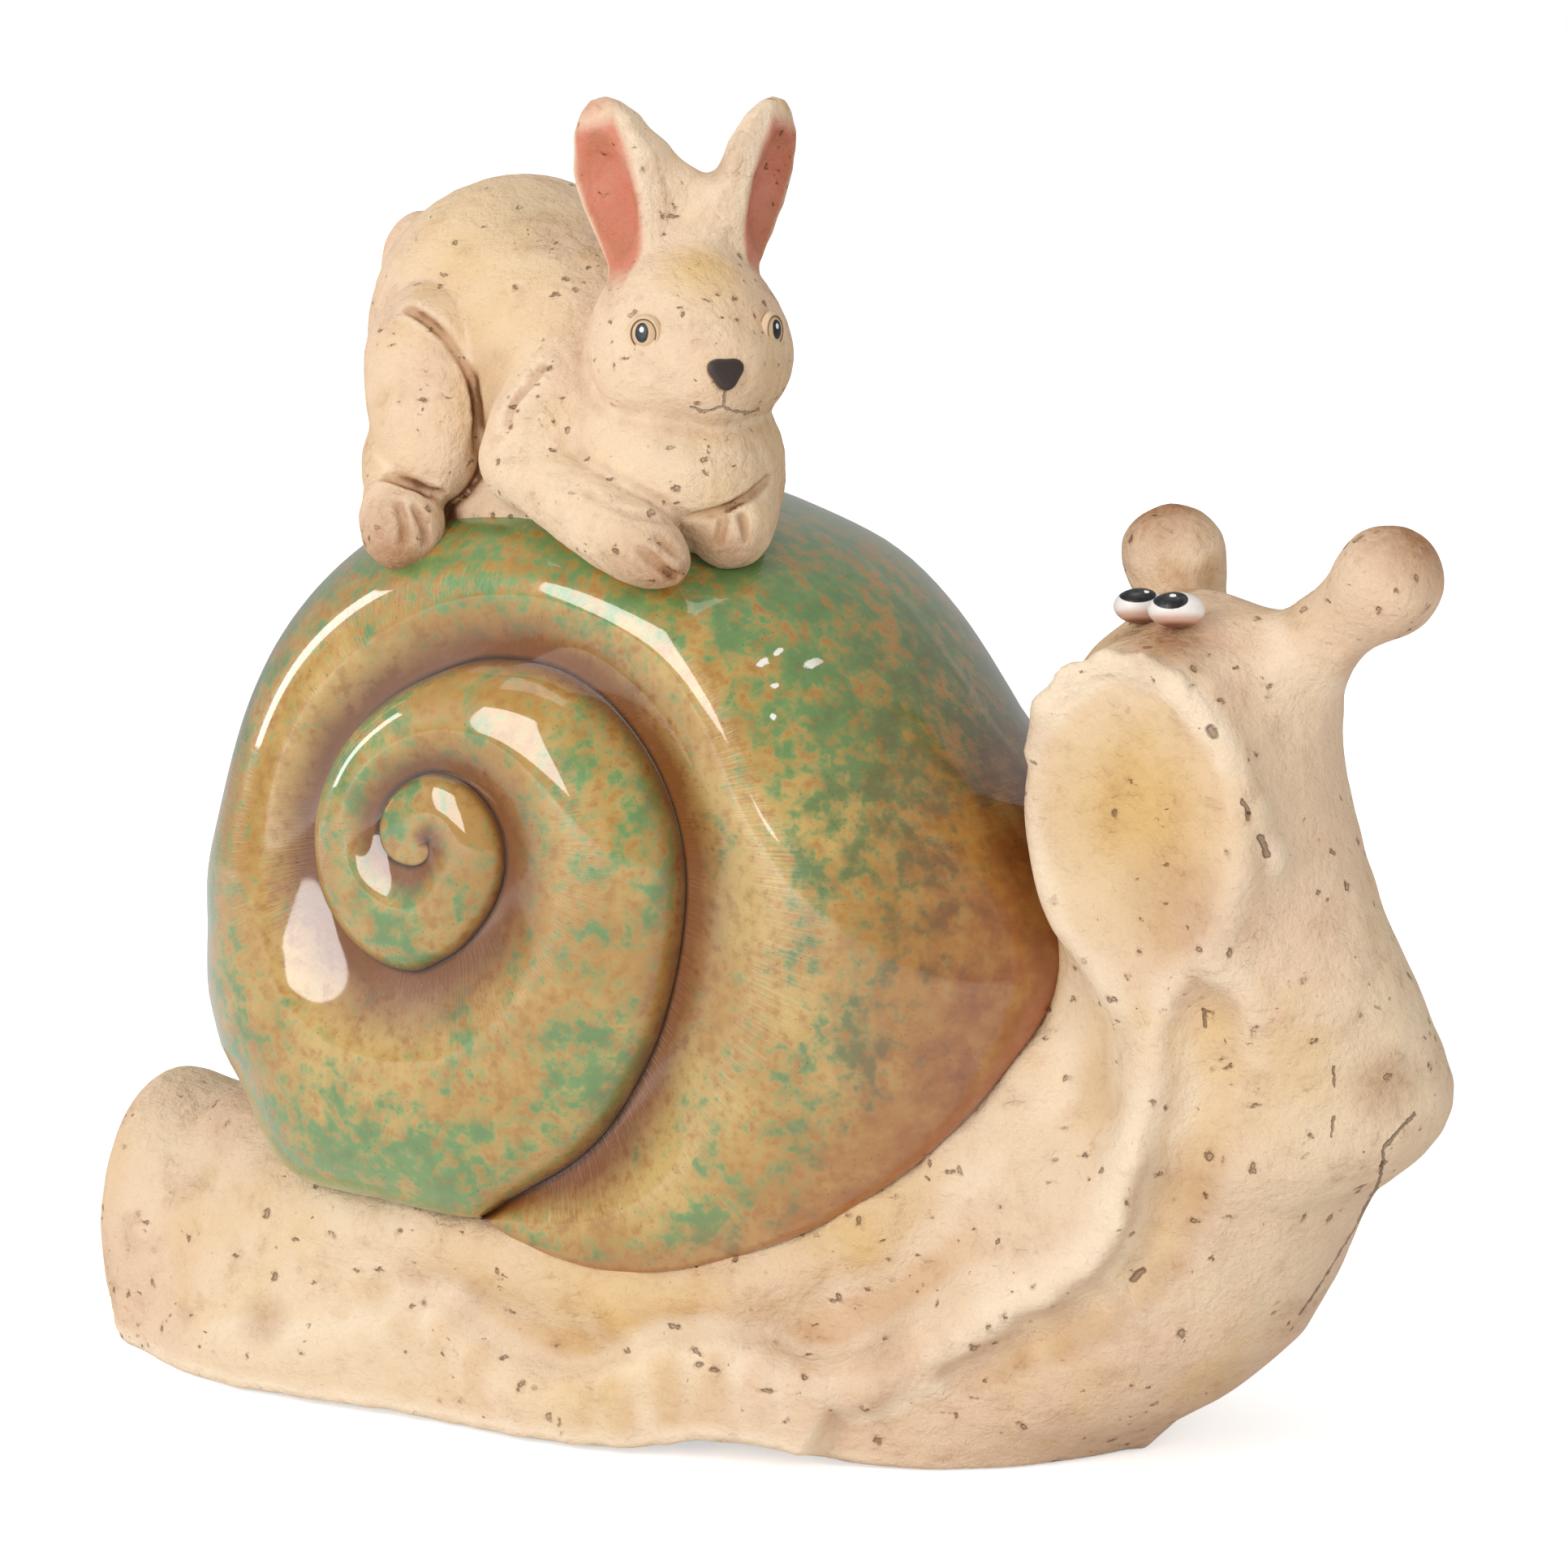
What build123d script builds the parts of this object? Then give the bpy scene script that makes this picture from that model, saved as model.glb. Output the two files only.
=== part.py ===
from build123d import *

import os
from math import cos, radians, sin

os.makedirs("parts", exist_ok=True)

# A fired-clay garden ornament: a snail looks back over its right side, and a rabbit lies on its shell.
# The frame has +X the way the snail travels, +Y to the snail's left and +Z up, with the floor at Z 0.
# Lengths are millimetres. A table whose name ends in shares holds parts of the sizes named beside it.

# Snail body: hollow, open underneath, pressed in two halves and luted along the middle
body_length = 392.0
foot_width = 140.0
foot_height = 60.0
neck_height = 228.0
neck_width = 122.0
clay_wall = 8.0
cut_overrun = 6.0

# Snail head: each form runs from its root in the neck to its end.
# Places are of half the body's length, half the neck's width and the neck's height.
muzzle_middle_shares = (0.648, -0.443, 0.794)
muzzle_facing_degrees = -94.6
muzzle_width = 66.0
muzzle_height = 80.0
muzzle_depth = 44.0
muzzle_edge = 9.0
muzzle_dish_radius = 120.0
muzzle_dish_depth = 4.5
right_tentacle_root_shares = (0.612, 0.033, 0.890)
right_tentacle_end_shares = (0.587, 0.098, 1.086)
left_tentacle_root_shares = (0.776, -0.197, 0.890)
left_tentacle_end_shares = (0.977, -0.361, 1.072)
tentacle_girth = 26.0
right_eye_middle_shares = (0.610, -0.467, 0.991)
left_eye_middle_shares = (0.676, -0.582, 0.989)
snail_eye_radius = 8.0

# Shell: hollow and glazed, in two halves that meet along the crest, with a firing vent in its floor
shell_length = 250.0
shell_height = 208.0
shell_width = 136.0
shell_middle_x = -28.0
shell_middle_z = 146.0
shell_wall = 7.0
vent_radius = 15.0

# Coil on each side of the shell, a flattened tube that winds in to a button
coil_x = -56.0
coil_z = 161.0
coil_radius = 106.0
coil_seat = 62.0
coil_crest = 80.5
coil_root_depth = 14.0
coil_button_girth = 36.0

# Rabbit: each form runs between two points, the right side being the one towards the snail's right.
# Places are from the shell's crest, and those of the limbs that straddle it are in from its side.
torso_rump = (-89.0, 32.0, 50.0)
torso_chest = (41.0, -39.0, -5.0)
torso_girth = 84.0
head_back = (8.0, -14.0, 41.0)
head_front = (43.0, -57.0, 35.0)
head_girth = 52.0
right_ear_root = (13.0, -35.0, 50.0)
right_ear_tip = (-0.5, -39.0, 100.5)
right_ear_facing_degrees = -101.5
left_ear_root = (29.0, -23.0, 51.0)
left_ear_tip = (40.0, -11.0, 100.0)
left_ear_facing_degrees = -0.5
ear_width = 32.0
ear_thickness = 18.0
ear_scoop_depth = 5.0
ear_scoop_girth = 17.0
right_thigh_top = (-63.0, -16.0, 48.0)
right_thigh_end = (-44.8, 18.3, -4.5)
left_thigh_top = (-48.0, 36.0, 47.0)
left_thigh_end = (-40.0, 7.0, -5.0)
thigh_girth = 38.0
right_hock = (-66.5, 33.6, 5.0)
right_toe = (-46.5, 5.6, -19.0)
left_hock = (-64.0, 18.0, 4.0)
left_toe = (-42.0, 1.0, -22.0)
hind_paw_girth = 22.0
right_shoulder = (-8.0, -26.0, 32.0)
right_elbow = (-21.5, 10.6, -1.0)
right_forearm_root = (-29.5, 16.6, 11.0)
right_forepaw_tip = (39.5, 0.6, -19.0)
left_shoulder = (20.0, -14.0, 18.0)
left_elbow = (36.0, -24.0, -8.0)
left_forearm_root = (36.0, -12.0, 2.0)
left_forepaw_tip = (45.0, 15.6, -17.0)
upper_arm_girth = 32.0
forearm_girth = 24.0
tail_root = (-91.0, 29.0, 37.0)
tail_end = (-87.0, 32.0, 64.0)
tail_girth = 21.0
rabbit_right_eye = (24.4, -60.0, 40.5)
rabbit_left_eye = (49.7, -39.3, 40.5)
rabbit_eye_radius = 4.8
nose_root = (38.0, -51.0, 33.0)
nose_end = (46.5, -60.5, 30.5)
nose_girth = 11.0

half_length = body_length / 2
half_foot = foot_width / 2
half_neck = neck_width / 2
right_side = -1
left_side = 1


def on_neck(shares):
    along, across, up = shares
    return (along * half_length, across * half_neck, up * neck_height)


def on_shell(place):
    return (shell_middle_x + place[0], place[1], shell_middle_z + shell_height / 2 + place[2])


def on_flank(place, side):
    return on_shell((place[0], side * (shell_width / 2 - place[1]), place[2]))


# Girth along a rounded form, from one end to the other
bead_shares = [
    (0.015, 0.24), (0.067, 0.5), (0.25, 0.866), (0.5, 1.0),
    (0.75, 0.866), (0.933, 0.5), (0.985, 0.24),
]
egg_shares = [
    (0.012, 0.22), (0.06, 0.5), (0.18, 0.82), (0.36, 1.0),
    (0.6, 0.95), (0.8, 0.74), (0.94, 0.44), (0.985, 0.23),
]
club_shares = [
    (0.05, 0.66), (0.2, 0.7), (0.45, 0.78), (0.65, 0.96),
    (0.76, 1.0), (0.9, 0.8), (0.97, 0.48), (0.992, 0.25),
]
torso_shares = [
    (0.01, 0.22), (0.05, 0.5), (0.14, 0.82), (0.28, 1.0),
    (0.52, 0.96), (0.78, 0.8), (0.93, 0.5), (0.985, 0.23),
]
paw_shares = [
    (0.012, 0.22), (0.06, 0.5), (0.2, 0.8), (0.45, 0.92),
    (0.7, 1.0), (0.88, 0.8), (0.965, 0.48), (0.99, 0.25),
]

# Flat left at each end of a rounded form, of its girth
tip_flat_share = 0.09


def rounded_form(start, end, girth, girth_shares):
    """A closed form of revolution from start to end."""
    along = Vector(*end) - Vector(*start)
    length = along.length
    flat_radius = tip_flat_share * girth / 2
    side = along.cross(Vector(0, 0, 1)).normalized()
    with BuildPart() as form:
        with BuildSketch(Plane(origin=start, x_dir=along, z_dir=side)):
            with BuildLine():
                profile = [(at * length, wide * girth / 2) for at, wide in girth_shares]
                Spline([(0, flat_radius), *profile, (length, flat_radius)])
                Polyline((length, flat_radius), (length, 0), (0, 0), (0, flat_radius))
            make_face()
        revolve(axis=Axis(start, along))
    return form.part


def head_form(start_shares, end_shares, girth, girth_shares):
    return rounded_form(on_neck(start_shares), on_neck(end_shares), girth, girth_shares)


# Shell

# Outline round the shell's middle, of its half length and half height
shell_outline_shares = [
    (1.0, -0.17), (0.79, 0.41), (0.50, 0.78), (0.08, 1.0), (-0.42, 0.90), (-0.80, 0.56),
    (-1.0, -0.10), (-0.80, -0.76), (0.0, -1.0), (0.74, -0.72),
]
# Domed sides: place out from the crest, then reach fore, aft, up and down, of the outline's
shell_dome_shares = [
    (1.0, 0.48, 0.76, 0.72, 0.72), (0.963, 0.66, 0.80, 0.81, 0.89), (0.882, 0.785, 0.85, 0.872, 0.944),
    (0.735, 0.905, 0.91, 0.93, 0.95), (0.51, 0.985, 0.967, 0.978, 0.975), (0.0, 1.0, 1.0, 1.0, 1.0),
]
# Coil round its middle: degrees, outer and inner edge of coil_radius, crest on the way from seat to crest
coil_shares = [
    (-180, 0.66, 0.37, 0.22), (-150, 0.81, 0.39, 0.43), (-120, 0.98, 0.38, 0.60), (-90, 0.97, 0.30, 0.73),
    (-60, 0.81, 0.23, 0.81), (-30, 0.675, 0.195, 0.92), (0, 0.61, 0.18, 0.97), (30, 0.555, 0.17, 1.0),
    (60, 0.49, 0.165, 1.0), (90, 0.415, 0.16, 1.0), (120, 0.355, 0.15, 1.0), (150, 0.345, 0.145, 1.0),
    (180, 0.35, 0.14, 1.0), (210, 0.365, 0.12, 1.0), (240, 0.36, 0.085, 1.0), (270, 0.285, 0.05, 1.0),
]
# Arch of a coil section: share of its half width, share of its rise above the seat
arch_shares = [(-1.0, 0.0), (-0.71, 0.71), (0.0, 1.0), (0.71, 0.71), (1.0, 0.0)]


def shell_form(inset):
    levels = [(-out, fore, aft, up, down) for out, fore, aft, up, down in shell_dome_shares]
    levels += reversed(shell_dome_shares[:-1])
    with BuildPart() as form:
        for out, fore, aft, up, down in levels:
            reach_fore = fore * shell_length / 2 - inset
            reach_aft = aft * shell_length / 2 - inset
            reach_up = up * shell_height / 2 - inset
            reach_down = down * shell_height / 2 - inset
            place_y = out * (shell_width / 2 - inset)
            with BuildSketch(Plane.XZ.offset(-place_y)):
                with BuildLine():
                    outline = [
                        (
                            shell_middle_x + a * (reach_fore if a > 0 else reach_aft),
                            shell_middle_z + b * (reach_up if b > 0 else reach_down),
                        )
                        for a, b in shell_outline_shares
                    ]
                    Spline(outline, periodic=True)
                make_face()
        loft()
    return form.part


def coil_form(side):
    """One side's coil, arched above its seat and rooted in the shell below it."""
    with BuildPart() as form:
        for degrees, outer, inner, rise in coil_shares:
            radial = Vector(cos(radians(degrees)), 0, sin(radians(degrees)))
            tangent = Vector(-sin(radians(degrees)), 0, cos(radians(degrees)))
            centre = Vector(coil_x, side * coil_seat, coil_z) + radial * (coil_radius * (outer + inner) / 2)
            half_width = coil_radius * (outer - inner) / 2
            half_height = rise * (coil_crest - coil_seat)
            with BuildSketch(Plane(origin=centre, x_dir=radial, z_dir=tangent)):
                with BuildLine():
                    arch = [(a * half_width, side * b * half_height) for a, b in arch_shares]
                    root = -side * coil_root_depth
                    Spline(arch)
                    Polyline(arch[-1], (half_width, root), (-half_width, root), arch[0])
                make_face()
        loft()
        button_start = (coil_x, side * (2 * coil_seat - coil_crest), coil_z)
        button_end = (coil_x, side * coil_crest, coil_z)
        add(rounded_form(button_start, button_end, coil_button_girth, bead_shares))
    return form.part


with BuildPart() as shell_solid:
    add(shell_form(0))
    for side in (right_side, left_side):
        add(coil_form(side))

with BuildPart() as shell_hollow:
    add(shell_solid.part)
    add(shell_form(shell_wall), mode=Mode.SUBTRACT)
    with BuildSketch():
        with Locations((shell_middle_x, 0)):
            Circle(vent_radius)
    extrude(amount=shell_middle_z, mode=Mode.SUBTRACT)

with BuildPart() as shell_right_half:
    add(shell_hollow.part)
    split(bisect_by=Plane.XZ, keep=Keep.TOP)
shell_right_half.part.label = "shell_right_half"
export_step(shell_right_half.part, "parts/shell_right_half.step")

with BuildPart() as shell_left_half:
    add(shell_hollow.part)
    split(bisect_by=Plane.XZ, keep=Keep.BOTTOM)
shell_left_half.part.label = "shell_left_half"
export_step(shell_left_half.part, "parts/shell_left_half.step")

# Snail body

# Foot across X: place along half_length, half width of half_foot, underside and top of foot_height
foot_shares = [
    (-0.998, 0.13, 0.42, 0.87),
    (-0.965, 0.37, 0.13, 1.14),
    (-0.90, 0.56, -0.08, 1.20),
    (-0.80, 0.70, -0.10, 1.13),
    (-0.66, 0.83, -0.10, 1.24),
    (-0.45, 0.90, -0.10, 1.50),
    (-0.20, 0.955, -0.10, 1.67),
    (0.05, 0.95, -0.10, 1.75),
    (0.22, 0.88, -0.10, 1.98),
    (0.34, 0.79, -0.10, 2.10),
    (0.44, 0.62, -0.10, 2.10),
]
# Half of a foot section: share of the half width, share of the way from underside to top
flank_shares = [(1.0, 0.0), (1.0, 0.18), (0.945, 0.34), (0.92, 0.5), (0.62, 0.84)]


def foot_form(inset, underside_drop):
    with BuildPart() as form:
        for along, wide, low, high in foot_shares:
            half_width = max(wide * half_foot - inset, inset / 2)
            base_z = low * foot_height - underside_drop
            top_z = high * foot_height - inset
            rise = top_z - base_z
            place_x = along * (half_length - inset)
            with BuildSketch(Plane.YZ.offset(place_x)):
                with BuildLine():
                    near = [(-w * half_width, base_z + up * rise) for w, up in flank_shares]
                    far = [(w * half_width, base_z + up * rise) for w, up in reversed(flank_shares)]
                    Spline([*near, (0, top_z), *far])
                    Line(far[-1], near[0])
                make_face()
        loft()
    return form.part


# Neck across Z: height of neck_height, front and back of half_length, half width and drift of half_neck
neck_shares = [
    (-0.05, 0.57, 0.00, 0.72, 0.00),
    (0.04, 0.67, 0.02, 0.77, 0.00),
    (0.13, 0.775, 0.06, 0.82, 0.00),
    (0.22, 0.86, 0.12, 0.836, 0.00),
    (0.33, 0.93, 0.22, 0.80, -0.02),
    (0.44, 0.995, 0.38, 0.68, -0.06),
    (0.55, 0.95, 0.47, 0.60, -0.14),
    (0.66, 0.905, 0.475, 0.60, -0.22),
    (0.77, 0.875, 0.45, 0.60, -0.23),
    (0.87, 0.855, 0.47, 0.557, -0.23),
    (0.94, 0.81, 0.53, 0.44, -0.23),
    (0.98, 0.76, 0.59, 0.28, -0.23),
    (1.0, 0.70, 0.65, 0.07, -0.23),
]
# Outline of a neck section: share of the way from middle to front or back, share of the half width
neck_outline_shares = [
    (0.0, 1.0), (-0.72, 0.72), (-1.0, 0.0), (-0.72, -0.72),
    (0.0, -1.0), (0.72, -0.66), (1.0, 0.0), (0.72, 0.66),
]


def neck_form(inset, underside_drop):
    with BuildPart() as form:
        for up, front, back, wide, drift in neck_shares:
            place_z = up * (neck_height - inset) - underside_drop * (up < 0)
            middle_x = (front + back) / 2 * half_length
            reach = max((front - back) / 2 * half_length - inset, inset / 2)
            half_width = max(wide * half_neck - inset, inset / 2)
            middle_y = drift * half_neck
            with BuildSketch(Plane.XY.offset(place_z)):
                with BuildLine():
                    outline = [
                        (middle_x + a * reach, middle_y + b * half_width)
                        for a, b in neck_outline_shares
                    ]
                    Spline(outline, periodic=True)
                make_face()
        loft()
    return form.part


def muzzle_form():
    """A thick oval pad with a rounded edge and a dished face."""
    facing = Vector(cos(radians(muzzle_facing_degrees)), sin(radians(muzzle_facing_degrees)), 0)
    middle = Vector(*on_neck(muzzle_middle_shares))
    across = facing.cross(Vector(0, 0, 1))
    dish_middle = middle + facing * (muzzle_depth / 2 + muzzle_dish_radius - muzzle_dish_depth)
    with BuildPart() as form:
        with BuildSketch(Plane(origin=middle - facing * muzzle_depth / 2, x_dir=across, z_dir=facing)):
            Ellipse(muzzle_width / 2, muzzle_height / 2)
        extrude(amount=muzzle_depth)
        fillet(form.edges(), radius=muzzle_edge)
        with Locations(dish_middle):
            Sphere(muzzle_dish_radius, mode=Mode.SUBTRACT)
    return form.part


with BuildPart() as body_solid:
    add(foot_form(0, 0))
    add(neck_form(0, 0))
    add(muzzle_form())
    split(bisect_by=Plane.XY, keep=Keep.TOP)
    add(shell_solid.part, mode=Mode.SUBTRACT)

with BuildPart() as body_hollow:
    add(body_solid.part)
    add(foot_form(clay_wall, cut_overrun), mode=Mode.SUBTRACT)
    add(neck_form(clay_wall, cut_overrun), mode=Mode.SUBTRACT)

with BuildPart() as snail_body_right_half:
    add(body_hollow.part)
    split(bisect_by=Plane.XZ, keep=Keep.TOP)
snail_body_right_half.part.label = "snail_body_right_half"
export_step(snail_body_right_half.part, "parts/snail_body_right_half.step")

with BuildPart() as snail_body_left_half:
    add(body_hollow.part)
    split(bisect_by=Plane.XZ, keep=Keep.BOTTOM)
snail_body_left_half.part.label = "snail_body_left_half"
export_step(snail_body_left_half.part, "parts/snail_body_left_half.step")

# Tentacles and eyes, each ending on the skin of the head
with BuildPart() as snail_tentacle_right:
    add(head_form(right_tentacle_root_shares, right_tentacle_end_shares, tentacle_girth, club_shares))
    add(body_solid.part, mode=Mode.SUBTRACT)
snail_tentacle_right.part.label = "snail_tentacle_right"
export_step(snail_tentacle_right.part, "parts/snail_tentacle_right.step")

with BuildPart() as snail_tentacle_left:
    add(head_form(left_tentacle_root_shares, left_tentacle_end_shares, tentacle_girth, club_shares))
    add(body_solid.part, mode=Mode.SUBTRACT)
snail_tentacle_left.part.label = "snail_tentacle_left"
export_step(snail_tentacle_left.part, "parts/snail_tentacle_left.step")

with BuildPart() as snail_eye_left:
    with Locations(on_neck(left_eye_middle_shares)):
        Sphere(snail_eye_radius)
    add(body_solid.part, mode=Mode.SUBTRACT)
snail_eye_left.part.label = "snail_eye_left"
export_step(snail_eye_left.part, "parts/snail_eye_left.step")

with BuildPart() as snail_eye_right:
    with Locations(on_neck(right_eye_middle_shares)):
        Sphere(snail_eye_radius)
    add(body_solid.part, mode=Mode.SUBTRACT)
    add(snail_eye_left.part, mode=Mode.SUBTRACT)
snail_eye_right.part.label = "snail_eye_right"
export_step(snail_eye_right.part, "parts/snail_eye_right.step")

# Rabbit: the torso lies on the shell and carries the head, legs and tail
with BuildPart() as rabbit_torso:
    add(rounded_form(on_shell(torso_rump), on_shell(torso_chest), torso_girth, torso_shares))
    add(shell_solid.part, mode=Mode.SUBTRACT)
rabbit_torso.part.label = "rabbit_torso"
export_step(rabbit_torso.part, "parts/rabbit_torso.step")

with BuildPart() as rabbit_head:
    add(rounded_form(on_shell(head_back), on_shell(head_front), head_girth, bead_shares))
    add(rabbit_torso.part, mode=Mode.SUBTRACT)
rabbit_head.part.label = "rabbit_head"
export_step(rabbit_head.part, "parts/rabbit_head.step")

# Half width and half thickness along an ear, from root to tip
ear_shares = [
    (0.0, 0.66, 0.9), (0.22, 0.84, 1.0), (0.48, 1.0, 1.0),
    (0.72, 0.86, 0.86), (0.9, 0.5, 0.6), (1.0, 0.12, 0.2),
]
# Where the scoop starts and ends along the ear
scoop_start_share = 0.3
scoop_end_share = 0.94


def ear_form(root, tip, facing_degrees):
    """An ear from root to tip, hollowed on the side that faces the given way in plan."""
    along = Vector(*tip) - Vector(*root)
    facing = Vector(cos(radians(facing_degrees)), sin(radians(facing_degrees)), 0)
    across = along.cross(facing).normalized()
    outward = across.cross(along).normalized()
    lift = outward * (ear_thickness / 2 + ear_scoop_girth / 2 - ear_scoop_depth)
    scoop_start = Vector(*root) + along * scoop_start_share + lift
    scoop_end = Vector(*root) + along * scoop_end_share + lift
    with BuildPart() as form:
        for at, wide, thick in ear_shares:
            with BuildSketch(Plane(origin=Vector(*root) + along * at, x_dir=across, z_dir=along)):
                Ellipse(wide * ear_width / 2, thick * ear_thickness / 2)
        loft()
        scoop = rounded_form(scoop_start, scoop_end, ear_scoop_girth, bead_shares)
        add(scoop, mode=Mode.SUBTRACT)
    return form.part


with BuildPart() as rabbit_ear_right:
    add(ear_form(on_shell(right_ear_root), on_shell(right_ear_tip), right_ear_facing_degrees))
    add(rabbit_head.part, mode=Mode.SUBTRACT)
rabbit_ear_right.part.label = "rabbit_ear_right"
export_step(rabbit_ear_right.part, "parts/rabbit_ear_right.step")

with BuildPart() as rabbit_ear_left:
    add(ear_form(on_shell(left_ear_root), on_shell(left_ear_tip), left_ear_facing_degrees))
    add(rabbit_head.part, mode=Mode.SUBTRACT)
    add(rabbit_ear_right.part, mode=Mode.SUBTRACT)
rabbit_ear_left.part.label = "rabbit_ear_left"
export_step(rabbit_ear_left.part, "parts/rabbit_ear_left.step")

with BuildPart() as rabbit_eye_right:
    with Locations(on_shell(rabbit_right_eye)):
        Sphere(rabbit_eye_radius)
    add(rabbit_head.part, mode=Mode.SUBTRACT)
rabbit_eye_right.part.label = "rabbit_eye_right"
export_step(rabbit_eye_right.part, "parts/rabbit_eye_right.step")

with BuildPart() as rabbit_eye_left:
    with Locations(on_shell(rabbit_left_eye)):
        Sphere(rabbit_eye_radius)
    add(rabbit_head.part, mode=Mode.SUBTRACT)
rabbit_eye_left.part.label = "rabbit_eye_left"
export_step(rabbit_eye_left.part, "parts/rabbit_eye_left.step")

with BuildPart() as rabbit_nose:
    add(rounded_form(on_shell(nose_root), on_shell(nose_end), nose_girth, bead_shares))
    add(rabbit_head.part, mode=Mode.SUBTRACT)
rabbit_nose.part.label = "rabbit_nose"
export_step(rabbit_nose.part, "parts/rabbit_nose.step")

with BuildPart() as rabbit_tail:
    add(rounded_form(on_shell(tail_root), on_shell(tail_end), tail_girth, bead_shares))
    add(rabbit_torso.part, mode=Mode.SUBTRACT)
rabbit_tail.part.label = "rabbit_tail"
export_step(rabbit_tail.part, "parts/rabbit_tail.step")

with BuildPart() as rabbit_hind_leg_right:
    thigh_end = on_flank(right_thigh_end, right_side)
    add(rounded_form(on_shell(right_thigh_top), thigh_end, thigh_girth, egg_shares))
    add(rabbit_torso.part, mode=Mode.SUBTRACT)
    add(shell_solid.part, mode=Mode.SUBTRACT)
rabbit_hind_leg_right.part.label = "rabbit_hind_leg_right"
export_step(rabbit_hind_leg_right.part, "parts/rabbit_hind_leg_right.step")

with BuildPart() as rabbit_hind_leg_left:
    thigh_end = on_flank(left_thigh_end, left_side)
    add(rounded_form(on_shell(left_thigh_top), thigh_end, thigh_girth, egg_shares))
    add(rabbit_torso.part, mode=Mode.SUBTRACT)
    add(shell_solid.part, mode=Mode.SUBTRACT)
rabbit_hind_leg_left.part.label = "rabbit_hind_leg_left"
export_step(rabbit_hind_leg_left.part, "parts/rabbit_hind_leg_left.step")

with BuildPart() as rabbit_hind_paw_right:
    hock, toe = on_flank(right_hock, right_side), on_flank(right_toe, right_side)
    add(rounded_form(hock, toe, hind_paw_girth, paw_shares))
    add(rabbit_torso.part, mode=Mode.SUBTRACT)
    add(rabbit_hind_leg_right.part, mode=Mode.SUBTRACT)
    add(shell_solid.part, mode=Mode.SUBTRACT)
rabbit_hind_paw_right.part.label = "rabbit_hind_paw_right"
export_step(rabbit_hind_paw_right.part, "parts/rabbit_hind_paw_right.step")

with BuildPart() as rabbit_hind_paw_left:
    hock, toe = on_flank(left_hock, left_side), on_flank(left_toe, left_side)
    add(rounded_form(hock, toe, hind_paw_girth, paw_shares))
    add(rabbit_torso.part, mode=Mode.SUBTRACT)
    add(rabbit_hind_leg_left.part, mode=Mode.SUBTRACT)
    add(shell_solid.part, mode=Mode.SUBTRACT)
rabbit_hind_paw_left.part.label = "rabbit_hind_paw_left"
export_step(rabbit_hind_paw_left.part, "parts/rabbit_hind_paw_left.step")

with BuildPart() as rabbit_foreleg_right:
    elbow = on_flank(right_elbow, right_side)
    add(rounded_form(on_shell(right_shoulder), elbow, upper_arm_girth, egg_shares))
    forearm_root = on_flank(right_forearm_root, right_side)
    forepaw_tip = on_flank(right_forepaw_tip, right_side)
    add(rounded_form(forearm_root, forepaw_tip, forearm_girth, paw_shares))
    add(rabbit_torso.part, mode=Mode.SUBTRACT)
    add(rabbit_head.part, mode=Mode.SUBTRACT)
    add(shell_solid.part, mode=Mode.SUBTRACT)
rabbit_foreleg_right.part.label = "rabbit_foreleg_right"
export_step(rabbit_foreleg_right.part, "parts/rabbit_foreleg_right.step")

with BuildPart() as rabbit_foreleg_left:
    add(rounded_form(on_shell(left_shoulder), on_shell(left_elbow), upper_arm_girth, egg_shares))
    forearm_root = on_shell(left_forearm_root)
    forepaw_tip = on_flank(left_forepaw_tip, right_side)
    add(rounded_form(forearm_root, forepaw_tip, forearm_girth, paw_shares))
    add(rabbit_torso.part, mode=Mode.SUBTRACT)
    add(rabbit_head.part, mode=Mode.SUBTRACT)
    add(shell_solid.part, mode=Mode.SUBTRACT)
rabbit_foreleg_left.part.label = "rabbit_foreleg_left"
export_step(rabbit_foreleg_left.part, "parts/rabbit_foreleg_left.step")
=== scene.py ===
import bmesh
import bpy
import math
import numpy as np
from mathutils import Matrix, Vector


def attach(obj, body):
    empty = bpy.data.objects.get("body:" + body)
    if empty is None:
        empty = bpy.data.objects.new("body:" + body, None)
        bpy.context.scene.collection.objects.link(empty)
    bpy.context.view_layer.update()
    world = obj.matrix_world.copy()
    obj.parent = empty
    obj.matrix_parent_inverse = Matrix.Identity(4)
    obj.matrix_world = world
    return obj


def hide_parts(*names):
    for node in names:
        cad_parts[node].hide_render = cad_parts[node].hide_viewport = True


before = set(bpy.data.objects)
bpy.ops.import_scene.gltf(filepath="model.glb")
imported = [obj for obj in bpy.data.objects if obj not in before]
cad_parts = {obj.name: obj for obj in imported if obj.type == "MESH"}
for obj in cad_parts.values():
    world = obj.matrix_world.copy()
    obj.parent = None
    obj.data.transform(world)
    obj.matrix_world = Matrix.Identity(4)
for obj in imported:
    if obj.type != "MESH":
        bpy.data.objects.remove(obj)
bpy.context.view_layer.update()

mm = 0.001
scene = bpy.context.scene


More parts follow.
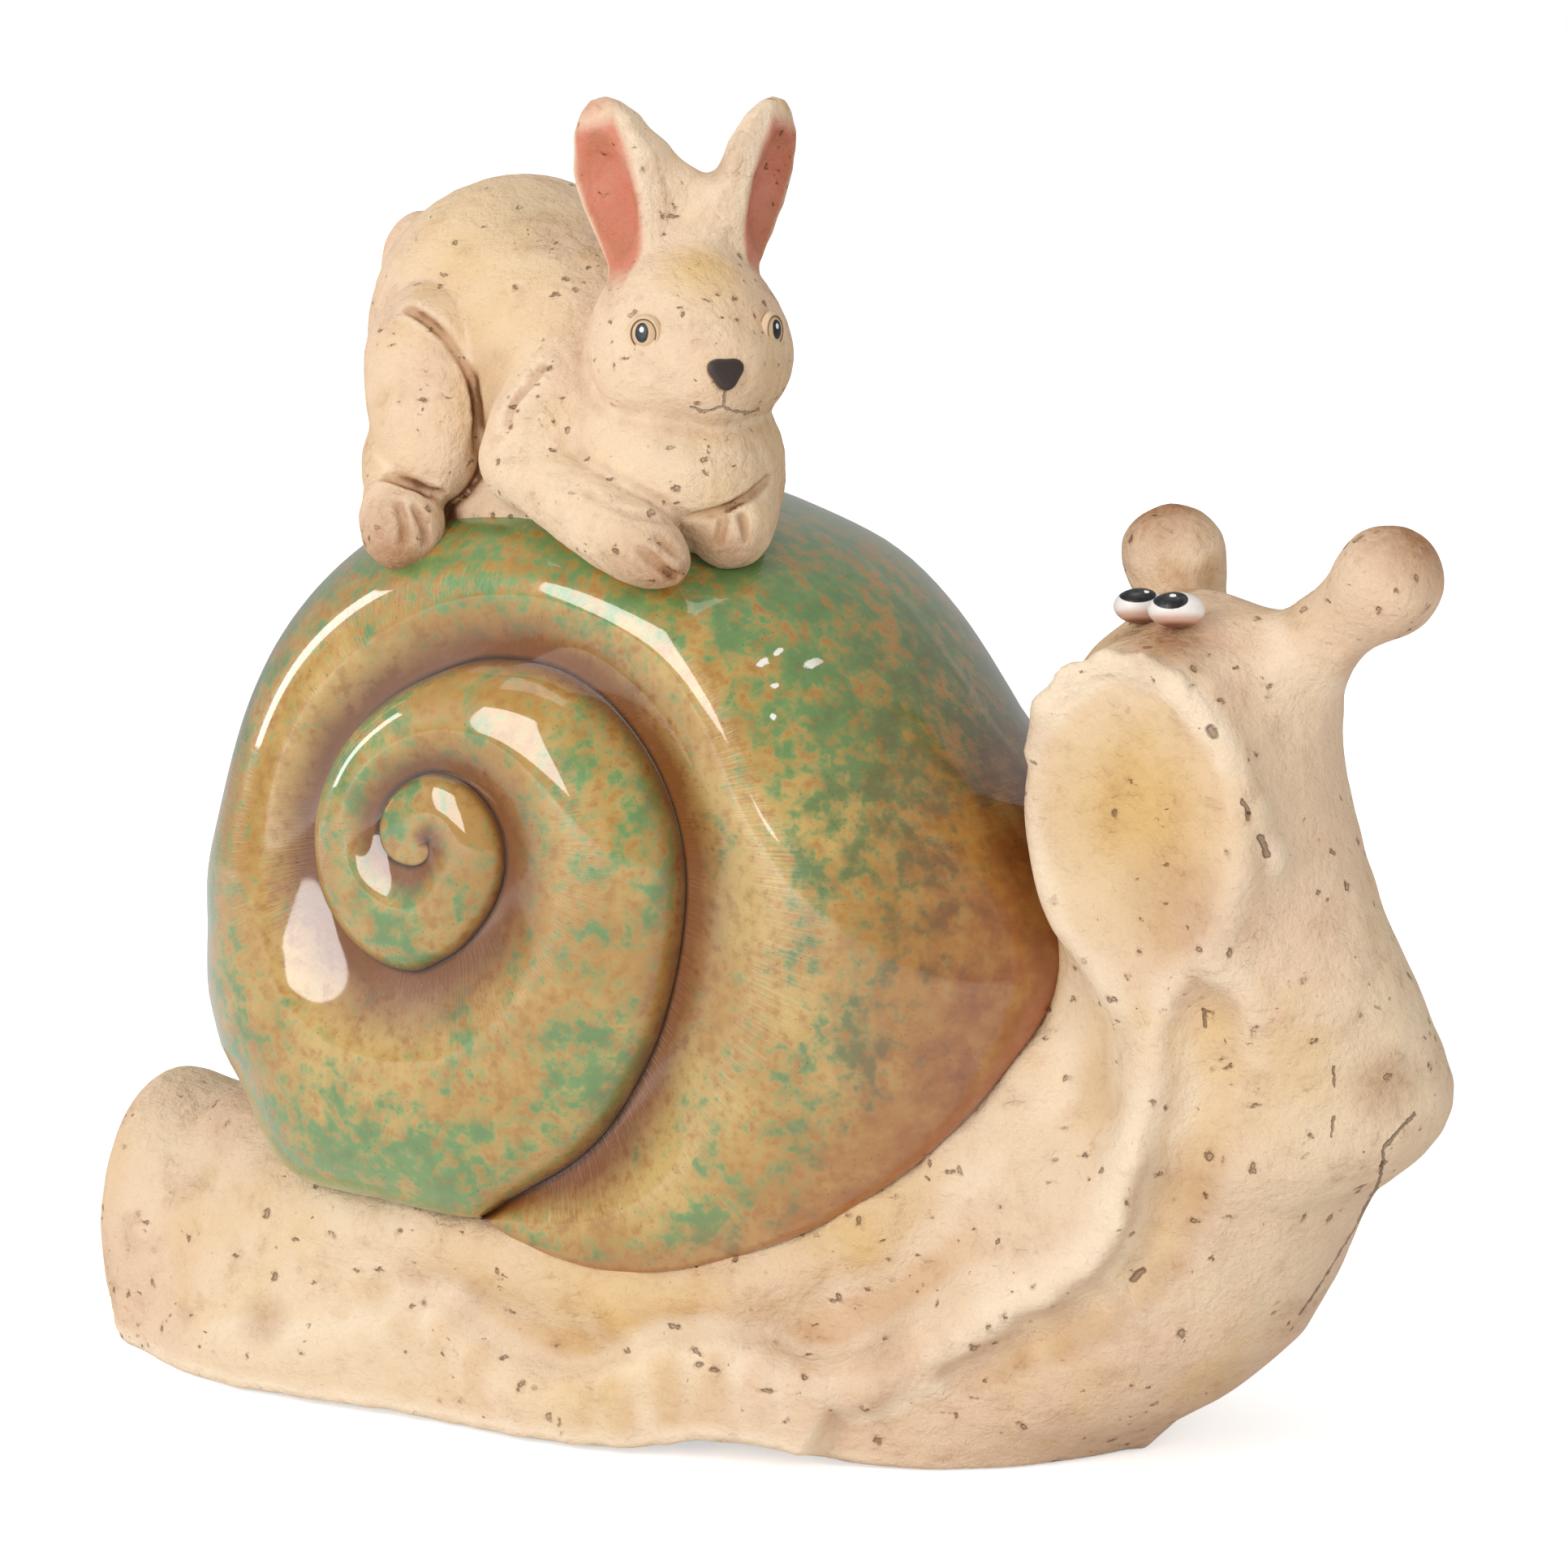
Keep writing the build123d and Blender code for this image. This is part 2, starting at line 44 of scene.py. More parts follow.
class Wire:
    def __init__(self, tree, socket=None):
        self.tree, self.socket = tree, socket

    def node(self, kind, inputs=None, out=0, **settings):
        made = self.tree.nodes.new(kind)
        for key, value in settings.items():
            setattr(made, key, value)
        for key, value in (inputs or {}).items():
            socket = made.inputs[key]
            if isinstance(key, str):  # several types may share a name, and one of them is live
                socket = next(other for other in made.inputs if other.name == key and other.enabled)
            if isinstance(value, Wire):
                self.tree.links.new(value.socket, socket)
            else:
                socket.default_value = value
        return Wire(self.tree, made.outputs[out] if made.outputs else None)

    def other(self, name):  # another output of the same node
        return Wire(self.tree, self.socket.node.outputs[name])

    def maths(self, operation, *values):
        return self.node("ShaderNodeMath", dict(enumerate(values)), operation=operation)

    def __add__(self, other):
        return self.maths("ADD", self, other)

    def __radd__(self, other):
        return self.maths("ADD", other, self)

    def __sub__(self, other):
        return self.maths("SUBTRACT", self, other)

    def __rsub__(self, other):
        return self.maths("SUBTRACT", other, self)

    def __mul__(self, other):
        return self.maths("MULTIPLY", self, other)

    def __rmul__(self, other):
        return self.maths("MULTIPLY", other, self)

    def __truediv__(self, other):
        return self.maths("DIVIDE", self, other)

    def __rtruediv__(self, other):
        return self.maths("DIVIDE", other, self)

    def __pow__(self, other):
        return self.maths("POWER", self, other)

    def lower(self, other):
        return self.maths("MINIMUM", self, other)

    def upper(self, other):
        return self.maths("MAXIMUM", self, other)

    def ramp(self, low, high):  # 0 at low, 1 at high, eased
        return self.node("ShaderNodeMapRange", {0: self, 1: low, 2: high},
            interpolation_type="SMOOTHSTEP")

    def mix(self, first, second, blend="MIX"):  # colours, by this factor
        return self.node("ShaderNodeMix", {0: self, 6: first, 7: second}, 2, data_type="RGBA",
            blend_type=blend)

    def choose(self, first, second):  # numbers, by this factor
        return self.node("ShaderNodeMix", {0: self, 2: first, 3: second}, 0, data_type="FLOAT")

    def vector(self, operation, other, out=0):
        return self.node("ShaderNodeVectorMath", {0: self, 1: other}, out, operation=operation)

    def parts(self):
        made = self.tree.nodes.new("ShaderNodeSeparateXYZ")
        self.tree.links.new(self.socket, made.inputs[0])
        return [Wire(self.tree, out) for out in made.outputs]

    def curve(self, points):  # a drawn curve through points, 0 to 1 each way
        made = self.tree.nodes.new("ShaderNodeFloatCurve")
        line = made.mapping.curves[0]
        for place, (x, y) in enumerate(points):
            spot = line.points[place] if place < 2 else line.points.new(x, y)
            spot.location = (x, y)
            spot.handle_type = "AUTO_CLAMPED"
        made.mapping.update()
        self.tree.links.new(self.socket, made.inputs["Value"])
        return Wire(self.tree, made.outputs[0])


def paint(red, green, blue):  # a screen colour, 0 to 255, as linear light
    linear = [(c / 255 / 12.92) if c < 10 else ((c / 255 + 0.055) / 1.055) ** 2.4 for c in (red,
        green, blue)]
    return (*linear, 1.0)


def newMaterial(name):
    material = bpy.data.materials.new(name)
    material.use_nodes = True
    tree = material.node_tree
    tree.nodes.clear()
    surface = tree.nodes.new("ShaderNodeBsdfPrincipled")
    output = tree.nodes.new("ShaderNodeOutputMaterial")
    tree.links.new(surface.outputs[0], output.inputs[0])
    return material, Wire(tree), surface


def plug(surface, **inputs):
    for name, value in inputs.items():
        socket = surface.inputs[name.replace("_", " ")]
        if isinstance(value, Wire):
            value.tree.links.new(value.socket, socket)
        else:
            socket.default_value = value


def attribute(tree, name):
    return tree.node("ShaderNodeAttribute", out=2, attribute_name=name)


def noise(tree, place, scale, detail=3.0, rough=0.55, out=0):
    return tree.node("ShaderNodeTexNoise",
        {"Vector": place, "Scale": scale, "Detail": detail, "Roughness": rough}, out)


def softTable(rows, column, reach=18):
    rows = np.array(rows, float)
    fine = np.linspace(rows[0, 0], rows[-1, 0], 600)
    values = np.interp(fine, rows[:, 0], rows[:, column])
    kernel = np.exp(-np.linspace(-2, 2, 2 * reach + 1) ** 2)
    values = np.convolve(np.pad(values, reach, mode="reflect", reflect_type="odd"),
        kernel / kernel.sum(), "valid")
    return lambda at: np.interp(at, fine, values)


def join(a, b, soft):
    h = np.maximum(soft - np.abs(a - b), 0) / soft
    return np.minimum(a, b) - h * h * soft / 4


def carve(a, b, soft):
    return -join(-a, b, soft)


def ball(p, middle, radii):
    q = (p - np.array(middle)) / np.array(radii)
    k = np.sqrt((q * q).sum(1))
    slope = np.sqrt(((q / np.array(radii)) ** 2).sum(1))
    return k * (k - 1) / np.maximum(slope, 1e-6)


def rod(p, a, b, startRadius, endRadius):
    a, b = np.array(a, float), np.array(b, float)
    along = b - a
    t = np.clip((p - a) @ along / (along @ along), 0, 1)
    return np.linalg.norm(p - a - t[:, None] * along,
        axis=1) - startRadius - t * (endRadius - startRadius)


def tube(p, points, radii, soft=0.0):
    d = None
    for place in range(len(points) - 1):
        e = rod(p, points[place], points[place + 1], radii[place], radii[place + 1])
        d = e if d is None else (join(d, e, soft) if soft else np.minimum(d, e))
    return d


def spun(p, start, end, girth, widths):  # a rounded form about the line from start to end
    start, end = np.array(start, float), np.array(end, float)
    along = end - start
    length = np.linalg.norm(along)
    along = along / length
    s = (p - start) @ along
    r = np.linalg.norm(p - start - s[:, None] * along, axis=1)
    widths = np.array([(0.0, 0.0), *widths, (1.0, 0.0)])
    peak = int(np.argmax(widths[:, 1]))
    lean = np.sqrt(np.maximum(1 - widths[:, 1] ** 2, 0))
    lean[:peak] *= -1
    warp = np.interp(s / length, widths[:, 0], lean)
    warp = np.where(s < 0, -1 + s / length * 2,
        np.where(s > length, 1 + (s / length - 1) * 2, warp))
    slope = np.gradient(lean, widths[:, 0])
    slope = np.interp(s / length, widths[:, 0], slope) / length
    k = np.sqrt(warp ** 2 + (2 * r / girth) ** 2)
    steep = np.sqrt((warp * slope) ** 2 + (4 * r / girth ** 2) ** 2) / np.maximum(k, 1e-6)
    return np.maximum((k - 1) / np.maximum(steep, 0.5 / girth), -girth)


lumpTable = np.random.default_rng(11).random((24, 24, 24)) - 0.5


def lumps(p, size):  # soft hand-pressed unevenness, -0.5 to 0.5
    q = p / size + 40.0
    cell = np.floor(q).astype(int)
    f = q - cell
    f = f * f * (3 - 2 * f)
    total = 0
    for i in (0, 1):
        for j in (0, 1):
            for k in (0, 1):
                weight = abs(1 - i - f[:, 0]) * abs(1 - j - f[:, 1]) * abs(1 - k - f[:, 2])
                total = total + weight * lumpTable[(cell[:, 0] + i) % 24, (cell[:, 1] + j) % 24,
                    (cell[:, 2] + k) % 24]
    return total


def inBatches(field, p):
    return np.concatenate([field(p[i:i + 200000]) for i in range(0, len(p), 200000)])


def slopes(field, p, h):
    sides = []
    for axis in range(3):
        nudge = np.zeros(3)
        nudge[axis] = h
        sides.append(inBatches(field, p + nudge) - inBatches(field, p - nudge))
    return np.stack(sides, 1) / (2 * h)


def skin(field, low, high, step):  # quads on the surface where the field is zero
    low = np.array(low, float)
    blocks = np.ceil((np.array(high) - low) / step / 4).astype(int) + 1
    corner = np.stack(np.meshgrid(*[np.arange(b) for b in blocks], indexing="ij"), -1)
    rough = inBatches(field, (low + (corner * 4 + 1.5) * step).reshape(-1, 3)).reshape(blocks)
    grid = rough.repeat(4, 0).repeat(4, 1).repeat(4, 2)
    near = (np.abs(rough) < step * 10).repeat(4, 0).repeat(4, 1).repeat(4, 2)
    grid[near] = inBatches(field, low + np.argwhere(near) * step)
    inside = grid < 0
    count = sum(inside[i:grid.shape[0] - 1 + i, j:grid.shape[1] - 1 + j,
        k:grid.shape[2] - 1 + k].astype(np.int8)
                for i in (0, 1) for j in (0, 1) for k in (0, 1))
    active = (count > 0) & (count < 8)
    number = np.full(active.shape, -1)
    number[active] = np.arange(active.sum())
    base = np.argwhere(active)
    total, crossed = np.zeros(base.shape), np.zeros(len(base))
    for axis in range(3):
        other = [n for n in range(3) if n != axis]
        for i in (0, 1):
            for j in (0, 1):
                first = np.zeros(3, int)
                first[other[0]], first[other[1]] = i, j
                second = first.copy()
                second[axis] = 1
                a, b = grid[tuple((base + first).T)], grid[tuple((base + second).T)]
                cut = (a < 0) != (b < 0)
                t = np.where(cut, a / np.where(cut, a - b, 1), 0)
                total += cut[:, None] * (first + t[:, None] * (second - first))
                crossed += cut
    points = low + step * (base + total / crossed[:, None])
    quads = []
    for axis in range(3):
        e, g = (axis + 1) % 3, (axis + 2) % 3
        a = np.take(inside, range(inside.shape[axis] - 1), axis)
        b = np.take(inside, range(1, inside.shape[axis]), axis)
        spots = np.argwhere(a != b)
        spots = spots[(spots[:, e] > 0) & (spots[:, g] > 0)]
        spots = spots[(spots[:, e] < active.shape[e]) & (spots[:, g] < active.shape[g])]
        outward = a[tuple(spots.T)]
        stepE, stepG = np.eye(3, dtype=int)[e], np.eye(3, dtype=int)[g]
        ring = [number[tuple((spots - back).T)] for back in (stepE + stepG, stepG, 0 * stepE,
            stepE)]
        ring = np.stack(ring, 1)
        ring[~outward] = ring[~outward][:, ::-1]
        quads.append(ring)
    for turn in range(3):
        push = slopes(field, points, 0.2)
        size = np.maximum((push ** 2).sum(1), 0.05)
        move = inBatches(field, points)[:, None] * push / size[:, None]
        points = points - np.clip(move, -0.5 * step, 0.5 * step)
    push = slopes(field, points, 0.35)
    normals = push / np.maximum(np.linalg.norm(push, axis=1), 1e-6)[:, None]
    return points, np.concatenate(quads), normals


def cutOut(name, chosen, points, quads, normals, paints, material):
    faces = quads[chosen]
    used, faces = np.unique(faces, return_inverse=True)
    faces = faces.reshape(-1, 4)
    mesh = bpy.data.meshes.new(name)
    mesh.from_pydata((points[used] * mm).tolist(), [], faces.tolist())
    for key, values in paints.items():
        mesh.attributes.new(key, "FLOAT", "POINT").data.foreach_set("value",
            values[used].astype(np.float32))
    mesh.shade_smooth()
    mesh.normals_split_custom_set_from_vertices(normals[used].tolist())
    mesh.materials.append(material)
    return settle(name + "_look", mesh, [name])


def settle(name, mesh, nodes):
    piece = bpy.data.objects.new(name, mesh)
    scene.collection.objects.link(piece)
    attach(piece, "root")
    if nodes:
        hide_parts(*nodes)
    return piece


view = {"target": (0.008, 0.0, 0.168), "distance": 1.4, "turn": 25.0, "rise": 10.0, "lens": 121.34}
turn, rise = math.radians(view["turn"]), math.radians(view["rise"])
away = Vector((math.sin(turn) * math.cos(rise), -math.cos(turn) * math.cos(rise), math.sin(rise)))
camera = bpy.data.objects.new("camera", bpy.data.cameras.new("camera"))
camera.data.lens = view["lens"]
camera.location = Vector(view["target"]) + away * view["distance"]
camera.rotation_euler = (-away).to_track_quat("-Z", "Y").to_euler()
scene.collection.objects.link(camera)
scene.camera = camera
scene.view_settings.view_transform = "Standard"

softboxes = [  # name, from where, width, height, watts
    ("keyBox", (-0.38, -1.52, 0.72), 0.7, 1.1, 15.0),
    ("sideBox", (-1.6, -0.3, 0.7), 0.35, 0.9, 6.5),
    ("rightBox", (1.5, -0.9, 0.9), 0.7, 0.9, 9.5),
    ("topBox", (-0.1, 0.0, 1.6), 0.9, 0.9, 3.5),
]
for name, place, wide, tall, watts in softboxes:
    lamp = bpy.data.lights.new(name, "AREA")
    lamp.shape, lamp.size, lamp.size_y, lamp.energy = "RECTANGLE", wide, tall, watts
    box = bpy.data.objects.new(name, lamp)
    box.location = place
    box.visible_camera = False
    box.visible_glossy = name != "rightBox"
    box.rotation_euler = (Vector((0, 0, 0.15)) - Vector(place)).to_track_quat("-Z", "Y").to_euler()
    scene.collection.objects.link(box)

world = bpy.data.worlds.new("studio")
world.use_nodes = True
scene.world = world
sky = Wire(world.node_tree)
world.node_tree.nodes.clear()
rays = world.node_tree.nodes.new("ShaderNodeLightPath")
seen = Wire(world.node_tree, rays.outputs["Is Camera Ray"])
strength = seen.choose(0.38, 1.0)
backdrop = sky.node("ShaderNodeBackground", {"Color": (1, 1, 1, 1), "Strength": strength})
sky.node("ShaderNodeOutputWorld", {"Surface": backdrop})

floorMesh = bpy.data.meshes.new("floor")
floorMesh.from_pydata([(-6, -6, -0.0004), (6, -6, -0.0004), (6, 6, -0.0004), (-6, 6, -0.0004)], [],
    [(0, 1, 2, 3)])
floorPaint, floorTree, floorSurface = newMaterial("floor")
path = floorPaint.node_tree.nodes.new("ShaderNodeLightPath")
floorSeen = Wire(floorPaint.node_tree, path.outputs["Is Camera Ray"])
far = floorTree.node("ShaderNodeTexCoord", out=3).vector("DISTANCE", (0, 0, 0), 1).ramp(0.3, 0.8)
plug(floorSurface, Base_Color=(0.9, 0.9, 0.9, 1), Roughness=0.9,
     Emission_Color=floorSeen.mix((0, 0, 0, 1), far.mix((0.55, 0.55, 0.55, 1), (1, 1, 1, 1))))
floorSurface.inputs["Emission Strength"].default_value = 1.0
floorSurface.inputs["Specular IOR Level"].default_value = 0.0
floorMesh.materials.append(floorPaint)
floor = bpy.data.objects.new("floor", floorMesh)
scene.collection.objects.link(floor)
print("stage ready")


clayLook = {
    "cream": (234, 208, 175), "pink": (228, 196, 166), "straw": (220, 182, 122),
    "brown": (160, 106, 62), "dark": (104, 64, 36),
    "light": (247, 227, 200), "blush": (206, 124, 100), "pitSize": 250.0, "strokeDepth": 0.066,
    "strokeTone": 0.6,
}
frontward = away
sideways = Vector((math.cos(turn), math.sin(turn), 0))
upward = Vector((-math.sin(turn) * math.sin(rise), math.cos(turn) * math.sin(rise), math.cos(rise)))


def clayMaterial(name, look, strokes):
    material, tree, surface = newMaterial(name)
    place = tree.node("ShaderNodeTexCoord", out=3)
    cream, pinkish, strawy, brown, dark, light, blush = (
        paint(*look[key]) for key in ("cream", "pink", "straw", "brown", "dark", "light", "blush"))
    patch = noise(tree, place, 12.0, 3.0)
    warm = noise(tree, place.vector("ADD", (3.1, 0.7, 1.9)), 20.0, 4.0)
    grain = noise(tree, place, 420.0, 5.0, 0.7)
    soften = noise(tree, place, 75.0, 5.0, 0.65)
    creaseShade, tint, straw, pink, ridgeHighlight = (attribute(tree, key) for key in ("creaseShade", "tint", "straw",
        "pink", "ridgeHighlight"))
    colour = patch.ramp(0.4, 0.66).mix(cream, pinkish)
    # straw patches, and on the snail painted shade in broad hollows, turn the clay strawy
    colour = (warm.ramp(0.5, 0.74) * 0.5 + straw * (0.6 + 0.8 * soften)).lower(1.0).mix(colour,
        strawy)
    colour = (soften.ramp(0.46, 0.74) * (0.05 + 0.4 * grain)).mix(colour, brown)
    # painted highlight on sharp ridges, in the light cream
    colour = (ridgeHighlight * (0.4 + 0.6 * soften)).lower(0.8).mix(colour, light)
    colour = (pink * (0.7 + 0.5 * soften)).lower(1.0).mix(colour, blush)
    colour = (tint * (0.3 + 1.2 * grain)).lower(0.85).mix(colour, brown)
    jitter = noise(tree, place, 380.0, 3.0, 0.6, 1).vector("SUBTRACT", (0.5, 0.5, 0.5))
    wobble = place.vector("ADD", jitter.vector("MULTIPLY", (0.004, 0.004, 0.004)))
    gather = noise(tree, place, 26.0, 2.0).ramp(0.35, 0.7)
    pit, halo = None, None
    for stretch, size in (((1.0, 1.0, 0.8), look["pitSize"]),
        ((0.42, 0.8, 1.2), look["pitSize"] * 1.35)):
        cell = tree.node("ShaderNodeTexVoronoi",
            {"Vector": wobble.vector("MULTIPLY", stretch), "Scale": size})
        chance, bulk, _ = cell.other("Color").parts()
        there = (chance + gather * 0.3).ramp(0.88, 0.99)
        radius = 0.07 + 0.24 * bulk * bulk
        core = (1.0 - cell.ramp(radius * 0.45, radius)) * there
        edge = (1.0 - cell.ramp(radius, radius * 1.7)) * there
        pit = core if pit is None else pit.upper(core)
        halo = edge if halo is None else halo.upper(edge)
    split = tree.node("ShaderNodeTexVoronoi",
        {"Vector": wobble.vector("MULTIPLY", (1.0, 1.0, 1.7)), "Scale": 120.0},
                      feature="DISTANCE_TO_EDGE")
    flake = (1.0 - split.ramp(0.0, 0.08)) * soften.ramp(0.5, 0.66) * grain.ramp(0.35, 0.6)
    flat = tree.node("ShaderNodeCombineXYZ", {0: place.vector("DOT_PRODUCT", tuple(sideways), 1),
                                              1: place.vector("DOT_PRODUCT", tuple(upward), 1)})
    flat = flat.vector("ADD", jitter.vector("MULTIPLY", (0.0022, 0.0022, 0.0)))
    cracksAndCreaseShade = None
    for start, end, width in strokes:  # dark strokes laid on from the front: cracks and slits on the snail, painted crease shade on the rabbit
        first = Vector((sideways.dot(Vector(start)), upward.dot(Vector(start)), 0)) * mm
        along = Vector((sideways.dot(Vector(end)), upward.dot(Vector(end)), 0)) * mm - first
        away = flat.vector("SUBTRACT", tuple(first))
        share = (away.vector("DOT_PRODUCT", tuple(along),
            1) / along.length_squared).upper(0.0).lower(1.0)
        foot = tree.node("ShaderNodeVectorMath", {0: tuple(along), 3: share}, operation="SCALE")
        line = 1.0 - away.vector("DISTANCE", foot, 1).ramp(width * 0.3 * mm, width * mm)
        cracksAndCreaseShade = line if cracksAndCreaseShade is None else cracksAndCreaseShade.upper(line)
    depth = place.vector("DOT_PRODUCT", tuple(frontward), 1)
    cracksAndCreaseShade = cracksAndCreaseShade * depth.ramp(look["strokeDepth"], look["strokeDepth"] + 0.008)
    # painted shade: brown in creases and hollows, dark brown in the deepest
    hollowShade = (creaseShade * (0.55 + 0.8 * grain)).lower(1.0)
    colour = (hollowShade * 0.85).mix(colour, brown)
    colour = ((creaseShade - 0.7).upper(0.0) * 2.6).lower(0.85).mix(colour, dark)
    colour = (halo * 0.28).upper(flake * 0.1).mix(colour, brown)
    colour = (pit * (0.05 + 0.5 * soften) + cracksAndCreaseShade * look["strokeTone"]).lower(0.85).mix(colour,
        dark)
    plug(surface, Base_Color=colour, Roughness=0.62 + 0.25 * grain)
    height = grain * 0.4 + soften * 0.9 + noise(tree, place, 170.0,
        3.0) * 0.6 - pit * 0.8 - flake * 0.12 - cracksAndCreaseShade * 0.9
    bump = tree.node("ShaderNodeBump", {"Height": height, "Strength": 0.9, "Distance": 0.0026})
    plug(surface, Normal=bump)
    surface.inputs["Specular IOR Level"].default_value = 0.3
    return material


# start, end, width: the seam below the prow, slits on the muzzle, splits in the groove
snailStrokes = [
    ((186, -8, 98.7), (180, -14, 91), 0.55), ((180, -14, 91), (175, -4, 71.3), 0.5),
    ((175, -4, 71.3), (158, -10, 43), 0.35),
    ((177, -6, 77), (173, -6, 68), 0.8), ((146.5, -50, 200), (147.3, -50, 198.8), 1.3),
    ((153, -46, 182), (155, -46, 179), 0.7),
    ((157.5, -44, 173), (159.5, -44, 168.5), 1.0), ((142, -40, 127), (142.5, -40, 123), 0.7),
    ((168, -20, 112), (168.5, -20, 107), 0.35),
    ((168.5, -20, 99), (167.8, -20, 94), 0.35), ((133, -54, 61.5), (131.5, -56, 59.5), 1.1),
    ((94, -45, 186), (95, -45, 179), 0.7),
]
rabbitStrokes = [  # the cleft under the nose and the mouth, drawn as painted shade in their creases
    ((19.8, -60, 279), (19.2, -60, 274.6), 0.35), ((19.2, -60, 274.6), (13, -58, 272.6), 0.4),
    ((13, -58, 272.6), (8.5, -56, 273.2), 0.3),
    ((19.2, -60, 274.6), (22.5, -54, 272.8), 0.4), ((22.5, -54, 272.8), (24.3, -50, 273.6), 0.3),
]
snailClay = clayMaterial("snail_clay_look", clayLook, snailStrokes)
rabbitClay = clayMaterial("rabbit_clay_look",
    {**clayLook, "pitSize": 300.0, "strokeDepth": 0.082, "strokeTone": 0.4}, rabbitStrokes)

shellLook = {
    "coilX": -56.0, "coilZ": 161.0, "startDegrees": -87.5, "sweepDegrees": 1110.0,
    "stepsAlong": 445, "stepsAcross": 41, "crestShare": 0.42, "radiusScale": 170.0,
    "sideScale": 90.0,
}
sutureRadii = [
    (-87.5, 103.7), (-80.5, 96.9), (-66.5, 89.7), (-44.9, 77.3), (-18.8, 67.7), (-2.4, 64.9),
    (30.5, 58.6),
    (53.5, 53.7), (76.6, 46.9), (113.4, 39.0), (148.3, 37.7), (186, 39.4), (217.1, 41.4),
    (247.6, 39.4),
    (271, 32.1), (303, 24.0), (343.5, 19.8), (404.5, 17.1), (450.7, 17.0), (479.8, 16.1),
    (516.4, 15.6),
    (548.4, 14.5), (585.9, 9.6), (630, 4.0), (662.5, 0.0), (1022.5, 0.0),
]
sutureSides = [
    (-87.5, 60), (0, 62), (120, 62.5), (186, 65), (247, 69), (303, 72), (343, 73), (450, 75),
    (516, 77), (662.5, 79.5), (1022.5, 79.5),
]
rimRadii = [
    (-87.5, 103.7), (-81.4, 109.6), (-67.3, 122.7), (-54.2, 131.2), (-40.1, 141.8), (-20.1, 154.9),
    (-10.5, 158.5),
    (-2, 151), (12.8, 126.5), (37, 111), (68, 94), (106.7, 86), (148.6, 85.5), (197.7, 101),
    (215, 116), (226.8, 121.5),
    (237.6, 119), (248, 111), (262, 104.5), (272.5, 103.7), (1022.5, 0),
]
rimSides = [
    (-87.5, 60), (-81.4, 62), (-67.3, 62), (-54.2, 60), (-40.1, 54), (-20.1, 36), (-10.5, 20),
    (-2, 4), (6, 0), (221, 0),
    (226.8, 7), (232, 23), (238.5, 41), (248, 52), (262, 58), (272.5, 60), (1022.5, 60),
]
crestSides = [
    (-87.5, 62), (-70, 66), (-40, 68), (0, 68), (90, 67), (160, 68), (210, 71), (267, 76),
    (330, 79), (420, 80.5), (600, 80.5), (750, 80), (1022.5, 79.6),
]
crestShares = [
    (-87.5, 0.5), (-62, 0.55), (-45, 0.42), (-30, 0.31), (-18, 0.28), (0, 0.27), (26, 0.35),
    (57, 0.42), (85, 0.39),
    (138, 0.3), (181, 0.3), (230, 0.33), (272, 0.38), (420, 0.42), (662.5, 0.42), (1022.5, 0.3),
]


